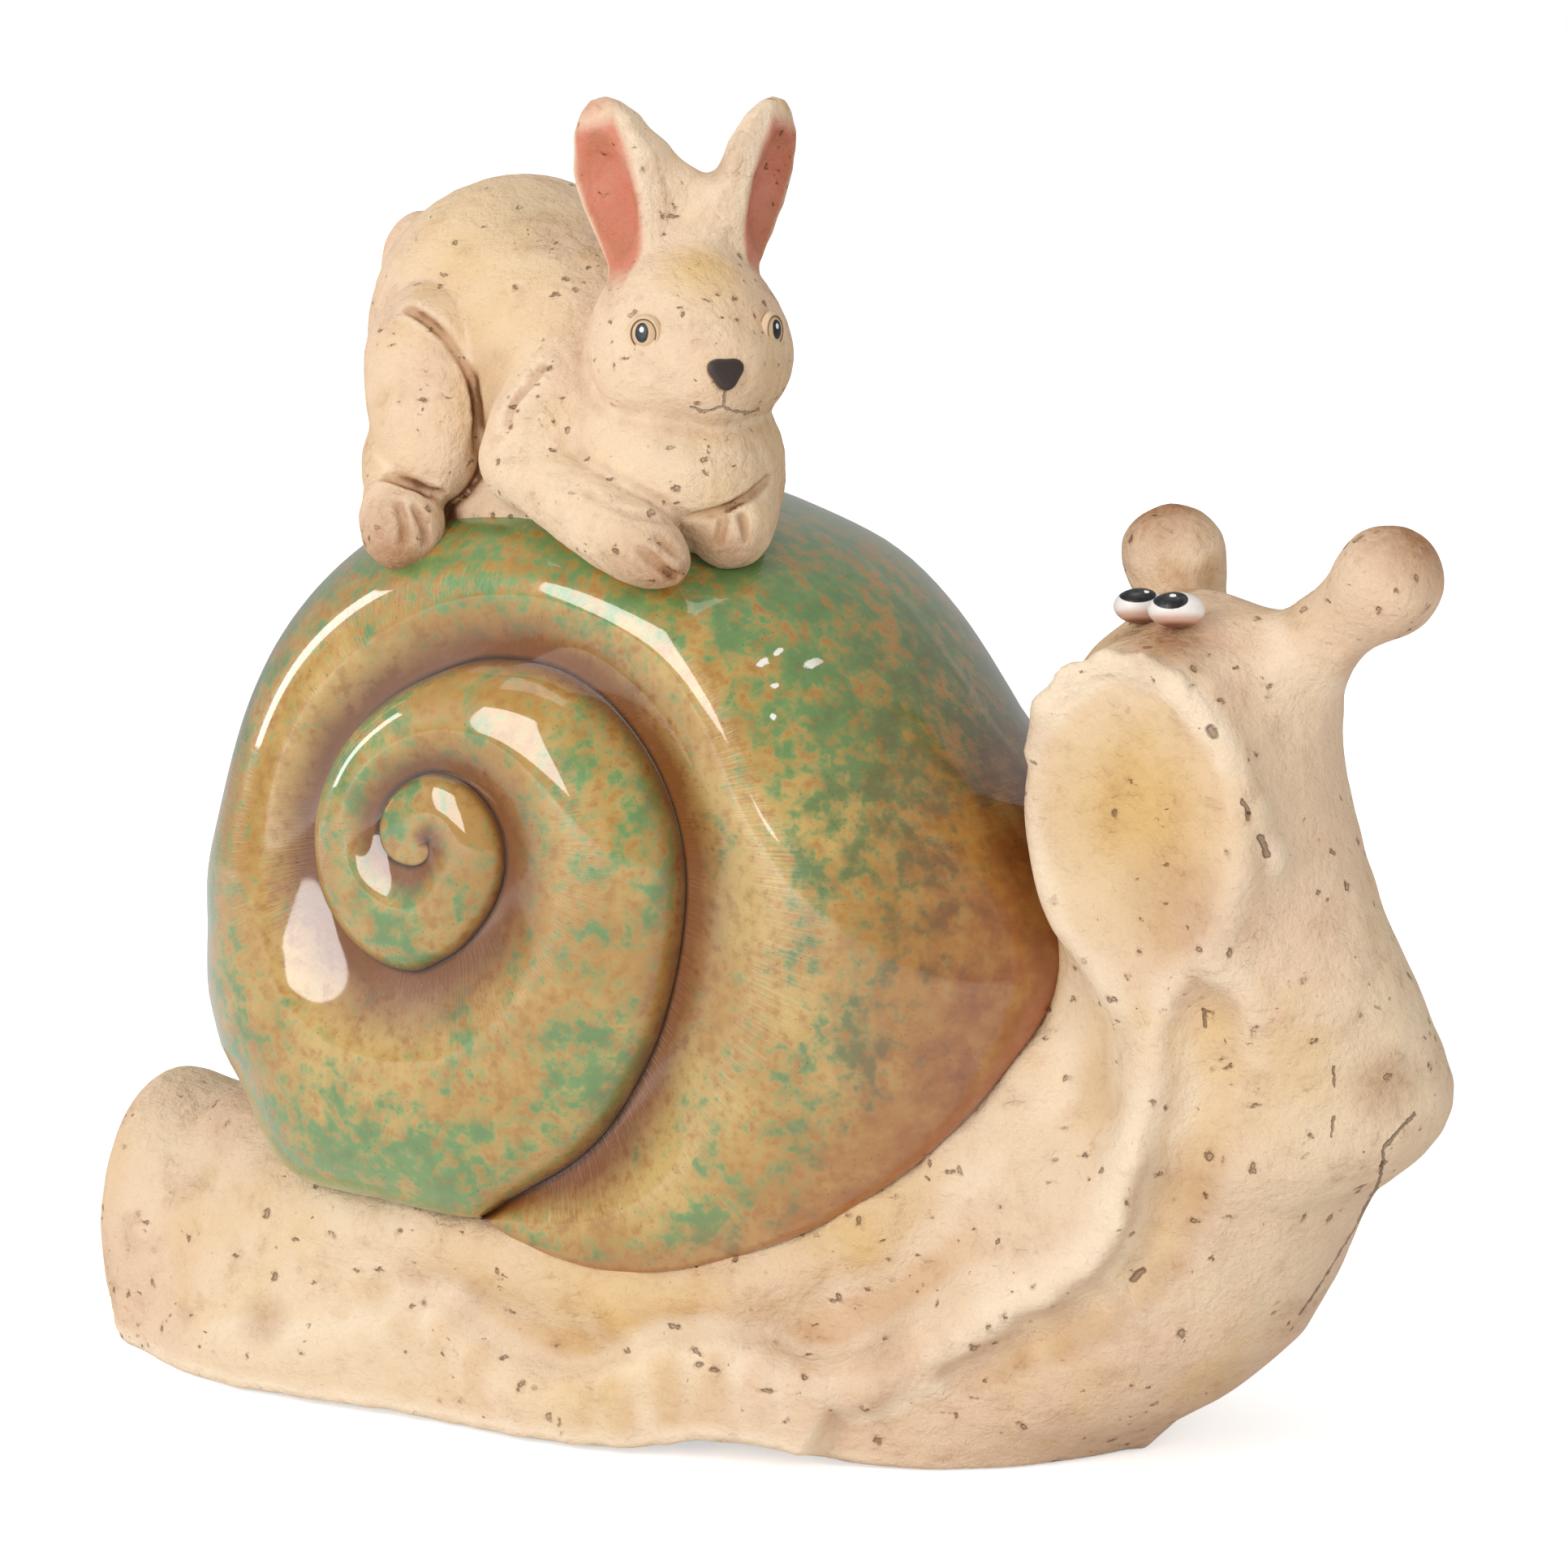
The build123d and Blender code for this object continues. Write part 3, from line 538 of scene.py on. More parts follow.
def shellTree(look):
    tree = bpy.data.node_groups.new("shellSpiral", "GeometryNodeTree")
    for name, kind in (("Steps along", "NodeSocketInt"), ("Steps across", "NodeSocketInt"),
        ("Coil X", "NodeSocketFloat"),
                       ("Coil Z", "NodeSocketFloat"), ("Tuck", "NodeSocketFloat"),
                       ("Glaze", "NodeSocketMaterial")):
        tree.interface.new_socket(name, in_out="INPUT", socket_type=kind)
    tree.interface.new_socket("Geometry", in_out="OUTPUT", socket_type="NodeSocketGeometry")
    given = tree.nodes.new("NodeGroupInput")
    ask = {socket.name: Wire(tree, socket) for socket in given.outputs if socket.name}
    w = Wire(tree)
    start, sweep = look["startDegrees"], look["sweepDegrees"]

    def drawn(at, rows, scale):
        return at.curve([((x - start) / sweep, y / scale) for x, y in rows]) * scale

    grid = w.node("GeometryNodeMeshGrid",
        {"Size X": 1.0, "Size Y": 1.0, "Vertices X": ask["Steps along"],
                                           "Vertices Y": ask["Steps across"]})
    place = w.node("GeometryNodeInputPosition").parts()
    along, across = place[0] + 0.5, place[1] + 0.5
    degrees = along * sweep + start
    wall = (across / 0.94).lower(1.0)  # the last rows tuck under the rim
    tuck = ((across - 0.94) / 0.06).upper(0.0)
    radius = look["radiusScale"]
    side = look["sideScale"]
    inner = drawn(along, sutureRadii, radius)
    innerSide = drawn(along, sutureSides, side)
    before = (along - 360.0 / sweep).upper(0.0)
    wound = along.maths("GREATER_THAN", along, 360.0 / sweep - 1e-5)
    outer = wound.choose(drawn(along, rimRadii, radius), drawn(before, sutureRadii, radius))
    outerSide = wound.choose(drawn(along, rimSides, side), drawn(before, sutureSides, side))
    crestSide = drawn(along, crestSides, side)
    crestRadius = inner + (outer - inner) * drawn(along, crestShares, 1.0)
    bend = look["crestShare"]
    climb = (wall / bend).lower(1.0)
    ease = climb * climb * (3.0 - 2.0 * climb)
    fall = ((wall - bend) / (1.0 - bend)).upper(0.0) * (math.pi / 2)
    rising = wall.maths("LESS_THAN", wall, bend)
    r = rising.choose(crestRadius + (outer - crestRadius) * fall.maths("SINE", fall),
        inner + (crestRadius - inner) * climb)
    y = rising.choose(outerSide + (crestSide - outerSide) * fall.maths("COSINE", fall),
                      innerSide + (crestSide - innerSide) * (0.35 * climb + 0.65 * ease))
    y = y - tuck * ask["Tuck"] * (outerSide / 20.0).lower(1.0) * (1.0 - wound)
    angle = degrees * (math.pi / 180)
    x = ask["Coil X"] + r * angle.maths("COSINE", angle)
    z = ask["Coil Z"] + r * angle.maths("SINE", angle)
    spot = w.node("ShaderNodeCombineXYZ", {0: x * mm, 1: y * -mm, 2: z * mm})
    shape = grid
    for name, value in (("turn", degrees / 360.0), ("across", wall),
        ("reach", (outer - inner) * mm),
                        ("rim", (1.0 - wound) * wall)):
        shape = w.node("GeometryNodeStoreNamedAttribute",
            {"Geometry": shape, "Name": name, "Value": value},
                       data_type="FLOAT", domain="POINT")
    shape = w.node("GeometryNodeSetPosition", {"Geometry": shape, "Position": spot})
    shape = w.node("GeometryNodeSetShadeSmooth", {"Geometry": shape})
    shape = w.node("GeometryNodeRealizeInstances", {"Geometry": shape})
    shape = w.node("GeometryNodeSetMaterial", {"Geometry": shape, "Material": ask["Glaze"]})
    w.node("NodeGroupOutput", {"Geometry": shape})
    return tree


glazeLook = {
    "ochre": (174, 130, 56), "straw": (196, 162, 92), "green": (98, 142, 80),
    "deepGreen": (70, 92, 48), "brown": (122, 68, 24),
    "dark": (56, 32, 16), "rust": (150, 72, 28), "chip": (236, 232, 220),
}
chips = [(29.1, 210, 1.1), (31.2, 212.2, 0.8), (33.4, 197.1, 1.0), (38.3, 209, 1.4),
    (43.5, 210.5, 1.2), (44.9, 211.2, 0.9), (32.5, 204.5, 0.6)]


def glazeMaterial(look):
    material, tree, surface = newMaterial("shell_glaze_look")
    place = tree.node("ShaderNodeTexCoord", out=3)
    x, y, z = place.parts()
    across, turns, reach, rim = (attribute(tree, name) for name in ("across", "turn", "reach",
        "rim"))
    ochre, strawy, green, deepGreen, brown, dark, rust, chip = (
        paint(*look[key]) for key in ("ochre", "straw", "green", "deepGreen", "brown", "dark",
        "rust", "chip"))
    dab = noise(tree, place, 280.0, 3.0, 0.6)
    sponge = noise(tree, place, 110.0, 3.0, 0.6)
    cloud = noise(tree, place, 20.0, 3.0)
    drift = noise(tree, place.vector("ADD", (2.0, 5.0, 1.0)), 9.0, 2.0)
    fromLine = across * reach * 1000.0
    toLine = (1.0 - across) * reach * 1000.0
    coiled = turns.ramp(0.74, 0.78)
    lipSide = 1.0 - turns.ramp(-0.03, 0.05)
    lipZone = rim.ramp(0.5, 0.86) * lipSide
    outer = across.ramp(0.36, 0.74) * (0.42 + 0.5 * drift) * (1.0 - lipZone)
    crown = z.ramp(0.195, 0.235) * 0.62
    inner = 0.22 + cloud.ramp(0.42, 0.62) * 0.3 + (1.0 - x.ramp(-0.15, -0.11)) * 0.3
    amount = coiled.choose(outer.upper(crown), inner)
    mottle = amount + (cloud - 0.5) * 0.7 + (sponge - 0.5) * 2.0 + (dab - 0.5) * 1.9
    cover = mottle.ramp(0.1, 0.8) * 0.95
    ground = (cloud + (dab - 0.5) * 0.6).ramp(0.35, 0.7).mix(ochre, strawy)
    # painted shade: deep green and then brown towards the right side, the side turned from the light; the sponge
    # adds a mottle of deep green
    rightShadeAndMottle = x.ramp(0.02, 0.09) * 0.75 + sponge.ramp(0.45, 0.7) * 0.3
    colour = cover.mix(ground, rightShadeAndMottle.lower(1.0).mix(green, deepGreen))
    colour = (x.ramp(0.03, 0.1) * (0.35 + 0.4 * sponge.ramp(0.4, 0.62))).mix(colour, brown)
    colour = (lipZone * (0.15 + 0.6 * sponge)).mix(colour, rust)
    # browner in the valley beside the suture, on the inner whorl's edge and in a thin dark line along the suture:
    # partly the glaze's own brown, partly painted shade
    valley = 1.0 - fromLine.ramp(1.0,
        (reach * 420.0).lower(turns.ramp(-0.15, 0.02).choose(16.0, 34.0)).upper(3.0))
    edge = (1.0 - toLine.ramp(0.0, (reach * 250.0).lower(15.0).upper(2.0))) * coiled * 0.8
    sutureBrownAndShade = valley.upper(edge) * (0.75 + 0.6 * sponge) + (1.0 - dab.ramp(0.3, 0.5)) * 0.25
    colour = sutureBrownAndShade.lower(0.95).mix(colour, brown)
    colour = ((1.0 - fromLine.ramp(0.3, 2.0)) * 0.85).mix(colour, dark)
    lip = rim.ramp(0.84, 0.97) * lipSide
    colour = (lip * (0.55 + 0.7 * sponge)).lower(0.95).mix(colour, rust)
    seat = rim.ramp(0.955, 0.975) * (1.0 - rim.ramp(0.985, 0.995)) * lip.ramp(0.2, 0.5)
    colour = (seat * 0.6).mix(colour, dark)
    holes = tree.node("ShaderNodeTexVoronoi", {"Vector": place, "Scale": 520.0})
    speck = (1.0 - holes.ramp(0.07, 0.15)) * noise(tree, place, 60.0, 2.0).ramp(0.42, 0.6)
    colour = (speck * 0.5).mix(colour, dark)
    flat = tree.node("ShaderNodeCombineXYZ", {0: x, 1: 0.0, 2: z})
    bare = None
    for chipX, chipZ, size in chips:  # flaked glaze near the crown
        spot = 1.0 - (flat.vector("DISTANCE", (chipX * mm, 0, chipZ * mm),
            1) + (dab - 0.5) * 0.003).ramp(size * 0.7 * mm, size * mm)
        bare = spot if bare is None else bare.upper(spot)
    bare = bare * (1.0 - y.ramp(-0.05, -0.04))
    colour = bare.mix(colour, chip)
    plug(surface, Base_Color=colour, Roughness=0.18 + 0.12 * dab)
    strokes = tree.node("ShaderNodeCombineXYZ", {0: turns * 520.0, 1: across * 5.0, 2: z * 60.0})
    brushed = noise(tree, strokes, 1.0, 4.0, 0.6)
    dimples = noise(tree, place, 150.0, 3.0, 0.5)
    height = brushed * 0.7 + dimples * 0.5 + dab * 0.12 - speck * 0.5 - bare * 0.4
    bump = tree.node("ShaderNodeBump", {"Height": height, "Strength": 0.42, "Distance": 0.0013})
    plug(surface, Normal=bump)
    surface.inputs["Coat Weight"].default_value = 0.9
    surface.inputs["Coat Roughness"].default_value = 0.05
    surface.inputs["Coat IOR"].default_value = 1.75
    surface.inputs["Specular IOR Level"].default_value = 0.4
    return material


glaze = glazeMaterial(glazeLook)
host = bpy.data.objects.new("shellHost", bpy.data.meshes.new("shellHost"))
scene.collection.objects.link(host)
spiral = host.modifiers.new("spiral", "NODES")
spiral.node_group = shellTree(shellLook)
wanted = {"Steps along": shellLook["stepsAlong"], "Steps across": shellLook["stepsAcross"],
    "Coil X": shellLook["coilX"],
          "Coil Z": shellLook["coilZ"], "Tuck": 12.0, "Glaze": glaze}
for item in spiral.node_group.interface.items_tree:
    if item.in_out == "INPUT":
        spiral[item.identifier] = wanted[item.name]
bpy.context.view_layer.update()
shellMesh = bpy.data.meshes.new_from_object(host.evaluated_get(bpy.context.evaluated_depsgraph_get()))
bpy.data.objects.remove(host)


def shellHalf(name, mirrored, nodes):
    mesh = shellMesh.copy()
    mesh.name = name
    count = len(mesh.vertices)
    spots = np.empty(count * 3, np.float32)
    mesh.vertices.foreach_get("co", spots)
    spots = spots.reshape(-1, 3)
    if mirrored:
        spots[:, 1] *= -1
        mesh.vertices.foreach_set("co", spots.ravel())
    mesh.update()
    facing = sum(poly.normal.y * poly.area for poly in mesh.polygons)
    if (facing > 0) != mirrored:
        mesh.flip_normals()
    mesh.update()
    normals = np.array([v.normal[:] for v in mesh.vertices])
    crest = np.abs(spots[:, 1]) < 0.0006
    normals[crest, 1] = 0
    normals /= np.maximum(np.linalg.norm(normals, axis=1), 1e-6)[:, None]
    mesh.shade_smooth()
    mesh.normals_split_custom_set_from_vertices(normals.tolist())
    return settle(name, mesh, nodes)


shellHalf("shell_right_half_look", False, ["shell_right_half"])
shellHalf("shell_left_half_look", True, ["shell_left_half"])
print("shell ready")


footRows = [  # x, half width, underside, top
    (-195, 10, 38, 46), (-194, 19, 31, 54), (-192, 26, 23, 61), (-189, 31, 14, 68.5),
    (-183, 36, 5, 72.5), (-176, 40, -1, 72),
    (-166, 44, -5, 69), (-150, 50, -6, 68), (-129, 55, -6, 74), (-100, 57, -6, 86),
    (-71, 58.5, -6, 96), (-39, 59.5, -6, 100),
    (-9, 60.5, -6, 104), (20, 59.5, -6, 108), (43, 51, -6, 120), (67, 42, -6, 126),
    (86, 28, -6, 126), (96, 15, -6, 106),
    (104, 7, -6, 56), (110, 2.5, -6, 16),
]
neckRows = [  # z, front, back, half width, drift
    (-11.4, 98, -30, 38, 0), (0, 106, -18, 42, 0), (9, 121, -10, 46.5, 0), (15, 133, -5, 49, 0),
    (23, 143, 2, 50.5, 0), (34, 154, 10, 51, 0),
    (49, 162.5, 20, 51, 0), (64, 168.5, 34, 50, -0.5), (74, 173, 43, 49, -1.2),
    (79, 179.5, 49, 47.5, -1.5), (86, 187, 56, 46, -1.5),
    (92, 191.3, 64, 44, -1), (98, 193.6, 71, 42, 0), (104, 193.8, 77, 41, 0),
    (110, 192, 83, 39.5, -1.5), (118, 189.3, 88, 38, -4.5),
    (130, 185.5, 92, 38.5, -7.5), (147, 177.3, 93, 38.5, -10), (162, 172.3, 91, 37, -11),
    (182, 166.5, 89, 33, -10.5), (198.4, 164, 92, 29.5, -10.5), (214.3, 157, 103.9, 25, -11.5),
    (223.4, 148, 115.6, 16, -12.5), (228, 136, 127.4, 4.3, -13),
]
footWide, footLow, footTop = (softTable(footRows, n, 7) for n in (1, 2, 3))
neckFront, neckBack, neckWide, neckDrift = (softTable(neckRows, n, 9) for n in (1, 2, 3, 4))
collar = [(-150, -17, 62), (-142, -20, 60), (-122, -35, 49), (-99, -45, 48), (-71, -51, 49),
    (-40, -55, 45.5), (-9, -55, 41),
          (21, -53, 47), (54, -47, 63), (76, -38, 83), (94, -29, 103), (106, -14, 128),
          (111, -4, 146)]
hem = [(-178, -27, 3), (-150, -42, 5), (-128, -53, 8), (-105, -57, 11), (-85, -58, 17),
    (-73, -59, 23.5), (-62, -60, 24.5), (-51, -61, 18.5),
       (-37, -63, 12.5), (-22, -63.5, 12), (-8, -64, 16), (6, -63, 24.5), (19.5, -62, 28),
       (31, -62, 26), (43.5, -60, 22.5), (58, -57, 25),
       (73, -53, 33.5), (86.5, -49.5, 43), (105.5, -47.5, 50.5), (120, -45, 58.5),
       (127.5, -44.5, 72), (130, -43.5, 90), (131, -41.5, 110),
       (129.5, -39, 125), (125, -39, 140)]
hemGirth = [4, 5, 5.5, 5, 5, 5, 5, 5, 5.5, 5.5, 5, 5, 5, 5, 5.5, 5.5, 6, 7.5, 8, 8, 8, 8, 8, 6.5, 4]
hemHeight = softTable([(x, z) for x, y, z in hem[:17]], 1, 5)
underRows = [(-200, 0), (-95, 1.2), (-80, 1.8), (-62, 0.6), (-20, 0.9), (-4, 2), (5, 4), (14, 6.2),
    (32, 6.6), (41, 5), (50, 2.6), (60, 1.6), (90, 2.4), (130, 4)]
underLift = softTable(underRows, 1, 9)
groove = [(136, -49, 151), (144, -46.5, 126), (145, -47.5, 111), (142, -48.5, 95), (138, -48.5, 80),
    (133, -48.5, 66), (126, -49.5, 56),
          (117.5, -51, 48.5), (103, -53, 40), (84, -55, 28.5)]
grooveGirth = [2, 5.5, 7, 7, 6.5, 6, 5.5, 5, 4.5, 2]
rightTentacle = [(120, -2, 200), (119, 3, 220), (115.3, 5.7, 234)]
leftTentacle = [(148, -10, 201), (161.5, -14, 218), (181.6, -20, 235)]
muzzle = {"middle": (127, -28, 175), "facing": (-0.08, -0.99, 0.05), "wide": 31.5, "tall": 42.0, "half": 22.0, "edge": 8.0, "dish": 5.5}
muzzleRim = [(97, -43, 190), (101.5, -46, 201), (109, -48, 209), (118, -49.5, 213.5),
    (127, -50, 213.5), (135.5, -49.5, 209),
             (143, -48.5, 200.5), (149, -47, 191), (154.5, -43.5, 179), (158, -38, 167),
             (160, -31, 154)]
rimGirth = [2.5, 3.2, 3.6, 3.8, 4, 4, 4, 3.8, 3.6, 3, 1.5]


def footField(p):
    x, y, z = p.T
    wide, low, top = footWide(x), footLow(x), footTop(x)
    # the tail is rounded beneath
    wide = wide * (1 - 0.18 * np.clip((-145 - x) / 30, 0, 1) * np.clip(1 - z / 34, 0, 1))
    v = np.maximum(z - low, 0) / (top - low)
    k = np.sqrt((y / wide) ** 2 + v ** 2.6)
    r = np.sqrt(y ** 2 + np.maximum(z - low, 0) ** 2)
    d = np.maximum(r * (1 - 1 / np.maximum(k, 0.05)), low - z)
    return np.maximum(d, np.maximum(-195.4 - x, x - 110))


def neckField(p):
    x, y, z = p.T
    middle = (neckFront(z) + neckBack(z)) / 2
    reach, wide = (neckFront(z) - neckBack(z)) / 2, neckWide(z)
    a, b = (x - middle) / np.maximum(reach, 1), (y - neckDrift(z)) / np.maximum(wide, 1)
    k = np.sqrt(np.where(a > 0, np.abs(a) ** np.interp(z, [5, 50], [2.2, 1.75]), a * a) + b * b)
    r = np.sqrt((x - middle) ** 2 + (y - neckDrift(z)) ** 2)
    return np.maximum(r * (1 - 1 / np.maximum(k, 0.05)), z - 228)


def muzzleField(p):  # a thick oval pad with a rounded edge
    facing = np.array(muzzle["facing"]) / np.linalg.norm(muzzle["facing"])
    across = np.cross((0, 0, 1), facing)
    across /= np.linalg.norm(across)
    q = p - np.array(muzzle["middle"])
    size = (muzzle["wide"] + muzzle["tall"]) / 2
    out = np.sqrt((q @ across / muzzle["wide"]) ** 2 + (q @ np.cross(facing,
        across) / muzzle["tall"]) ** 2) * size
    a, b = out - size + muzzle["edge"], np.abs(q @ facing) - muzzle["half"] + muzzle["edge"]
    return np.sqrt(np.maximum(a, 0) ** 2 + np.maximum(b, 0) ** 2) + np.minimum(np.maximum(a, b),
        0) - muzzle["edge"]


def dishField(p):
    facing = np.array(muzzle["facing"]) / np.linalg.norm(muzzle["facing"])
    middle = np.array(muzzle["middle"]) + facing * (muzzle["half"] + 90 - muzzle["dish"]) + np.array([-2, 0, -18])
    return ball(p, middle, (90, 90, 150))


def nearSide(p):
    q = p.copy()
    lean = 11 * np.clip((q[:, 2] - 70) / 60, 0, 1)  # the neck leans to the near side
    q[:, 1] = np.where(q[:, 1] > 0, -q[:, 1] - lean, q[:, 1])
    return q


def hemField(p):  # a ridge that hangs down to the floor as a skirt, as far as the belly
    q = nearSide(p)
    fall = np.minimum(np.maximum(hemHeight(q[:, 0]) - q[:, 2], 0),
        np.interp(q[:, 0], [15, 50], [60, 0]))
    q[:, 2] += fall
    q[:, 1] -= 0.12 * fall
    return tube(q, hem, hemGirth, 4)


def trunkField(p):
    d = join(footField(p), neckField(p), 26)
    d = join(d, tube(nearSide(p), collar, [9.5] * len(collar), 6), 12)
    d = join(d, hemField(p), 11)
    d = carve(d, tube(nearSide(p), groove, grooveGirth, 5), 9)
    d = join(d, muzzleField(p), 14)
    d = join(d, tube(p, muzzleRim, rimGirth, 3), 3)
    return carve(d, dishField(p), 4)


def tentacleField(p, path):
    stalk = join(tube(p, path[:2], [11.5, 9.5], 4), rod(p, path[1], path[2], 9.5, 10.5), 5)
    return join(stalk, ball(p, path[2], (12.6, 12.6, 12.6)), 7)


def bodyField(p):
    d = trunkField(p)
    d = join(d, tentacleField(p, rightTentacle), 9)
    d = join(d, tentacleField(p, leftTentacle), 14)
    d = d + 1.0 * lumps(p, 15.0) + 0.6 * lumps(p, 6.0)
    lift = underLift(p[:, 0]) * np.clip((np.abs(p[:, 1]) - 44) / 16, 0, 1)
    # the far front edge curls up
    lift = np.maximum(lift, 9 * np.clip((p[:, 1] + 4) / 42, 0, 1) * np.clip((p[:, 0] - 62) / 34, 0,
        1))
    return -join(-d, p[:, 2] - lift, 2.5)


def shellGuess(p):
    k = np.sqrt((np.abs(p[:, 0] + 28) / 125) ** 2.2 + (np.abs(p[:, 2] - 146) / 104) ** 2.2
        + (np.abs(p[:, 1]) / 66) ** 2.6)
    return (k - 1) * 62


# painted shade: how closed in a point is, counting the shell's rough form, so creases and the clay against the
# shell turn darker
def occlusionShadeOf(field, points, normals, reach):
    out = inBatches(lambda q: np.minimum(field(q), shellGuess(q) + 2), points + normals * reach)
    return np.clip(1 - out / reach, 0, 1.4)


def ridgeHighlightOf(field, points, normals, reach):  # painted highlight: lighter where the form turns sharply
    return np.clip((inBatches(field, points - normals * reach) / reach + 1) * 3.4 - 0.2, 0, 1)


def spots(points, marks):  # soft round patches of paint: place, radius, strength
    return np.max([np.clip(1.2 - np.linalg.norm(points - np.array(at), axis=1) / size, 0, 1) * much
        for at, size, much in marks], 0)


points, quads, normals = skin(bodyField, (-199, -76, -3), (199, 76, 250), 1.9)
print("body quads", len(quads))
# painted crease shade on the snail, fading out at the floor
creaseShade = np.clip(occlusionShadeOf(bodyField, points, normals, 7.0) * 1.25 - 0.2, 0,
    1) * np.clip(points[:, 2] / 4, 0, 1)
# brown patches; the one between the muzzle rim and the eyes is painted shade in that hollow
tint = spots(points, [
    ((113, 4, 248), 15, 0.9), ((189, -21, 247), 15, 0.9), ((178.7, -18, 108.5), 11, 0.75),
    ((-121, -52, 18), 9, 0.6), ((62, -62, 38), 9, 0.6),
    ((131, -38, 218), 14, 0.8), ((140, -46, 82), 14, 0.35), ((141, -46, 152), 16, 0.3),
    ((96, -42, 196), 9, 0.5), ((-150, -20, 68), 16, 0.3),
    ((134, -47, 156), 15, 0.3)])
straw = spots(points, [((126, -48, 177), 28, 1.0), ((126, -48, 160), 22, 0.5),
    ((60, -58, 60), 26, 0.5), ((-10, -62, 32), 34, 0.8), ((-50, -60, 36), 24, 0.5)])
# painted shade in broad hollows, laid into the straw layer beside the straw patches
broadShade = np.clip(occlusionShadeOf(bodyField, points, normals, 16.0) * 1.2 - 0.25, 0,
    0.8) * np.clip(points[:, 2] / 12, 0, 1)
paints = {"creaseShade": creaseShade, "tint": tint, "straw": np.maximum(straw, broadShade),
    "ridgeHighlight": ridgeHighlightOf(bodyField, points, normals, 6.0)}
centres = points[quads].mean(1)
trunk, right, left = (inBatches(f, centres) for f in (
    trunkField, lambda q: tentacleField(q, rightTentacle),
    lambda q: tentacleField(q, leftTentacle)))
onRight, onLeft = (right < trunk) & (right < left), (left < trunk) & (left <= right)
rest = ~(onRight | onLeft)
cutOut("snail_tentacle_right", onRight, points, quads, normals, paints, snailClay)
cutOut("snail_tentacle_left", onLeft, points, quads, normals, paints, snailClay)
cutOut("snail_body_right_half", rest & (centres[:, 1] < 0), points, quads, normals, paints, snailClay)
cutOut("snail_body_left_half", rest & (centres[:, 1] >= 0), points, quads, normals, paints, snailClay)


# a round form with painted marks
def button(node, middle, outward, radii, lobes, rows, marks, material):
    outward = np.array(outward, float) / np.linalg.norm(outward)
    side = np.cross((0, 0, 1), outward)
    side /= np.linalg.norm(side)
    rows = np.array(rows, float)
    fine = np.linspace(0, len(rows) - 1, 44)
    shares, lifts = (np.interp(fine, np.arange(len(rows)), rows[:, n]) for n in (0, 1))
    angles = np.linspace(0, 2 * math.pi, 72, endpoint=False)
    reach = 1 + lobes * np.cos(3 * (angles + math.pi / 2))
    u = np.outer(shares, radii[0] * reach * np.cos(angles))
    v = np.outer(shares, radii[1] * reach * np.sin(angles))
    spotsOut = np.array(middle) + u[..., None] * side + v[..., None] * np.cross(outward,
        side) + (lifts[:, None, None] * outward)
    count = len(angles)
    ring = np.arange(count)
    faces = [[i * count + a, (i + 1) * count + a, (i + 1) * count + b, i * count + b]
             for i in range(len(shares) - 1) for a, b in zip(ring, np.roll(ring, -1))]
    mesh = bpy.data.meshes.new(node)
    mesh.from_pydata((spotsOut.reshape(-1, 3) * mm).tolist(), [],
        [[int(n) for n in face] for face in faces])
    front = np.repeat(np.arange(len(shares)) < np.argmax(shares) + 1, count)
    for key, (cu, cv, ru, rv) in marks.items():
        k = np.sqrt(((u - cu) / ru) ** 2 + ((v - cv) / rv) ** 2).ravel()
        mesh.attributes.new(key, "FLOAT", "POINT").data.foreach_set("value",
            (np.clip((1 - k) * 9 + 0.5, 0, 1) * front).astype(np.float32))
    mesh.attributes.new("fold", "FLOAT", "POINT").data.foreach_set("value",
        np.repeat(shares, count).astype(np.float32))
    mesh.attributes.new("height", "FLOAT", "POINT").data.foreach_set("value",
        v.ravel().astype(np.float32))
    mesh.validate()
    mesh.update()
    tidy = bmesh.new()
    tidy.from_mesh(mesh)
    bmesh.ops.remove_doubles(tidy, verts=tidy.verts, dist=1e-7)
    bmesh.ops.recalc_face_normals(tidy, faces=tidy.faces)
    tidy.to_mesh(mesh)
    tidy.free()
    mesh.shade_smooth()
    mesh.materials.append(material)
    return settle(node + "_look", mesh, [node])


def paintedMaterial(name, ground, layers, shine):
    material, tree, surface = newMaterial(name)
    place = tree.node("ShaderNodeTexCoord", out=3)
    grain = noise(tree, place, 700.0, 4.0, 0.65)
    colour = (grain * 0.4).mix(paint(*ground), paint(*[int(c * 0.86) for c in ground]))
    for key, low, high, tone in layers:
        much = attribute(tree, key).ramp(low, high) if low < high else 1.0 - attribute(tree,
            key).ramp(high, low)
        colour = (much * (0.85 + 0.3 * grain)).lower(1.0).mix(colour, paint(*tone))
    plug(surface, Base_Color=colour, Roughness=shine + 0.2 * grain)
    plug(surface, Normal=tree.node("ShaderNodeBump",
        {"Height": grain, "Strength": 0.25, "Distance": 0.0005}))
    return material


domeRows = [(math.sin(t), 5.2 * math.cos(t)) for t in np.linspace(0, math.pi, 25)]
snailEyePaint = paintedMaterial("snail_eye_look", (238, 232, 226), [
    ("height", -0.8, -3.2, (206, 162, 140)), ("height", -3.0, -4.2, (128, 84, 60)),
    ("pupil", 0.3, 0.7, (22, 22, 24)),
    ("glint", 0.3, 0.7, (246, 246, 244))], 0.25)
snailEyes = {
    "snail_eye_left": ((131.6, -35.5, 226.6), (0.36, -0.88, 0.3), (7.1, 4.5),
    {"pupil": (-1.5, 1.9, 4.3, 2.5), "glint": (-1.0, 3.0, 0.75, 0.55)}),
    "snail_eye_right": ((119.4, -29, 226), (0.36, -0.88, 0.3), (6.6, 4.5),
    {"pupil": (-0.6, 2.3, 4.6, 2.3), "glint": (1.6, 3.0, 0.6, 0.45)}),
}
for node, (middle, outward, radii, marks) in snailEyes.items():
    button(node, middle, outward, radii, 0.0, domeRows, marks, snailEyePaint)
print("body ready")


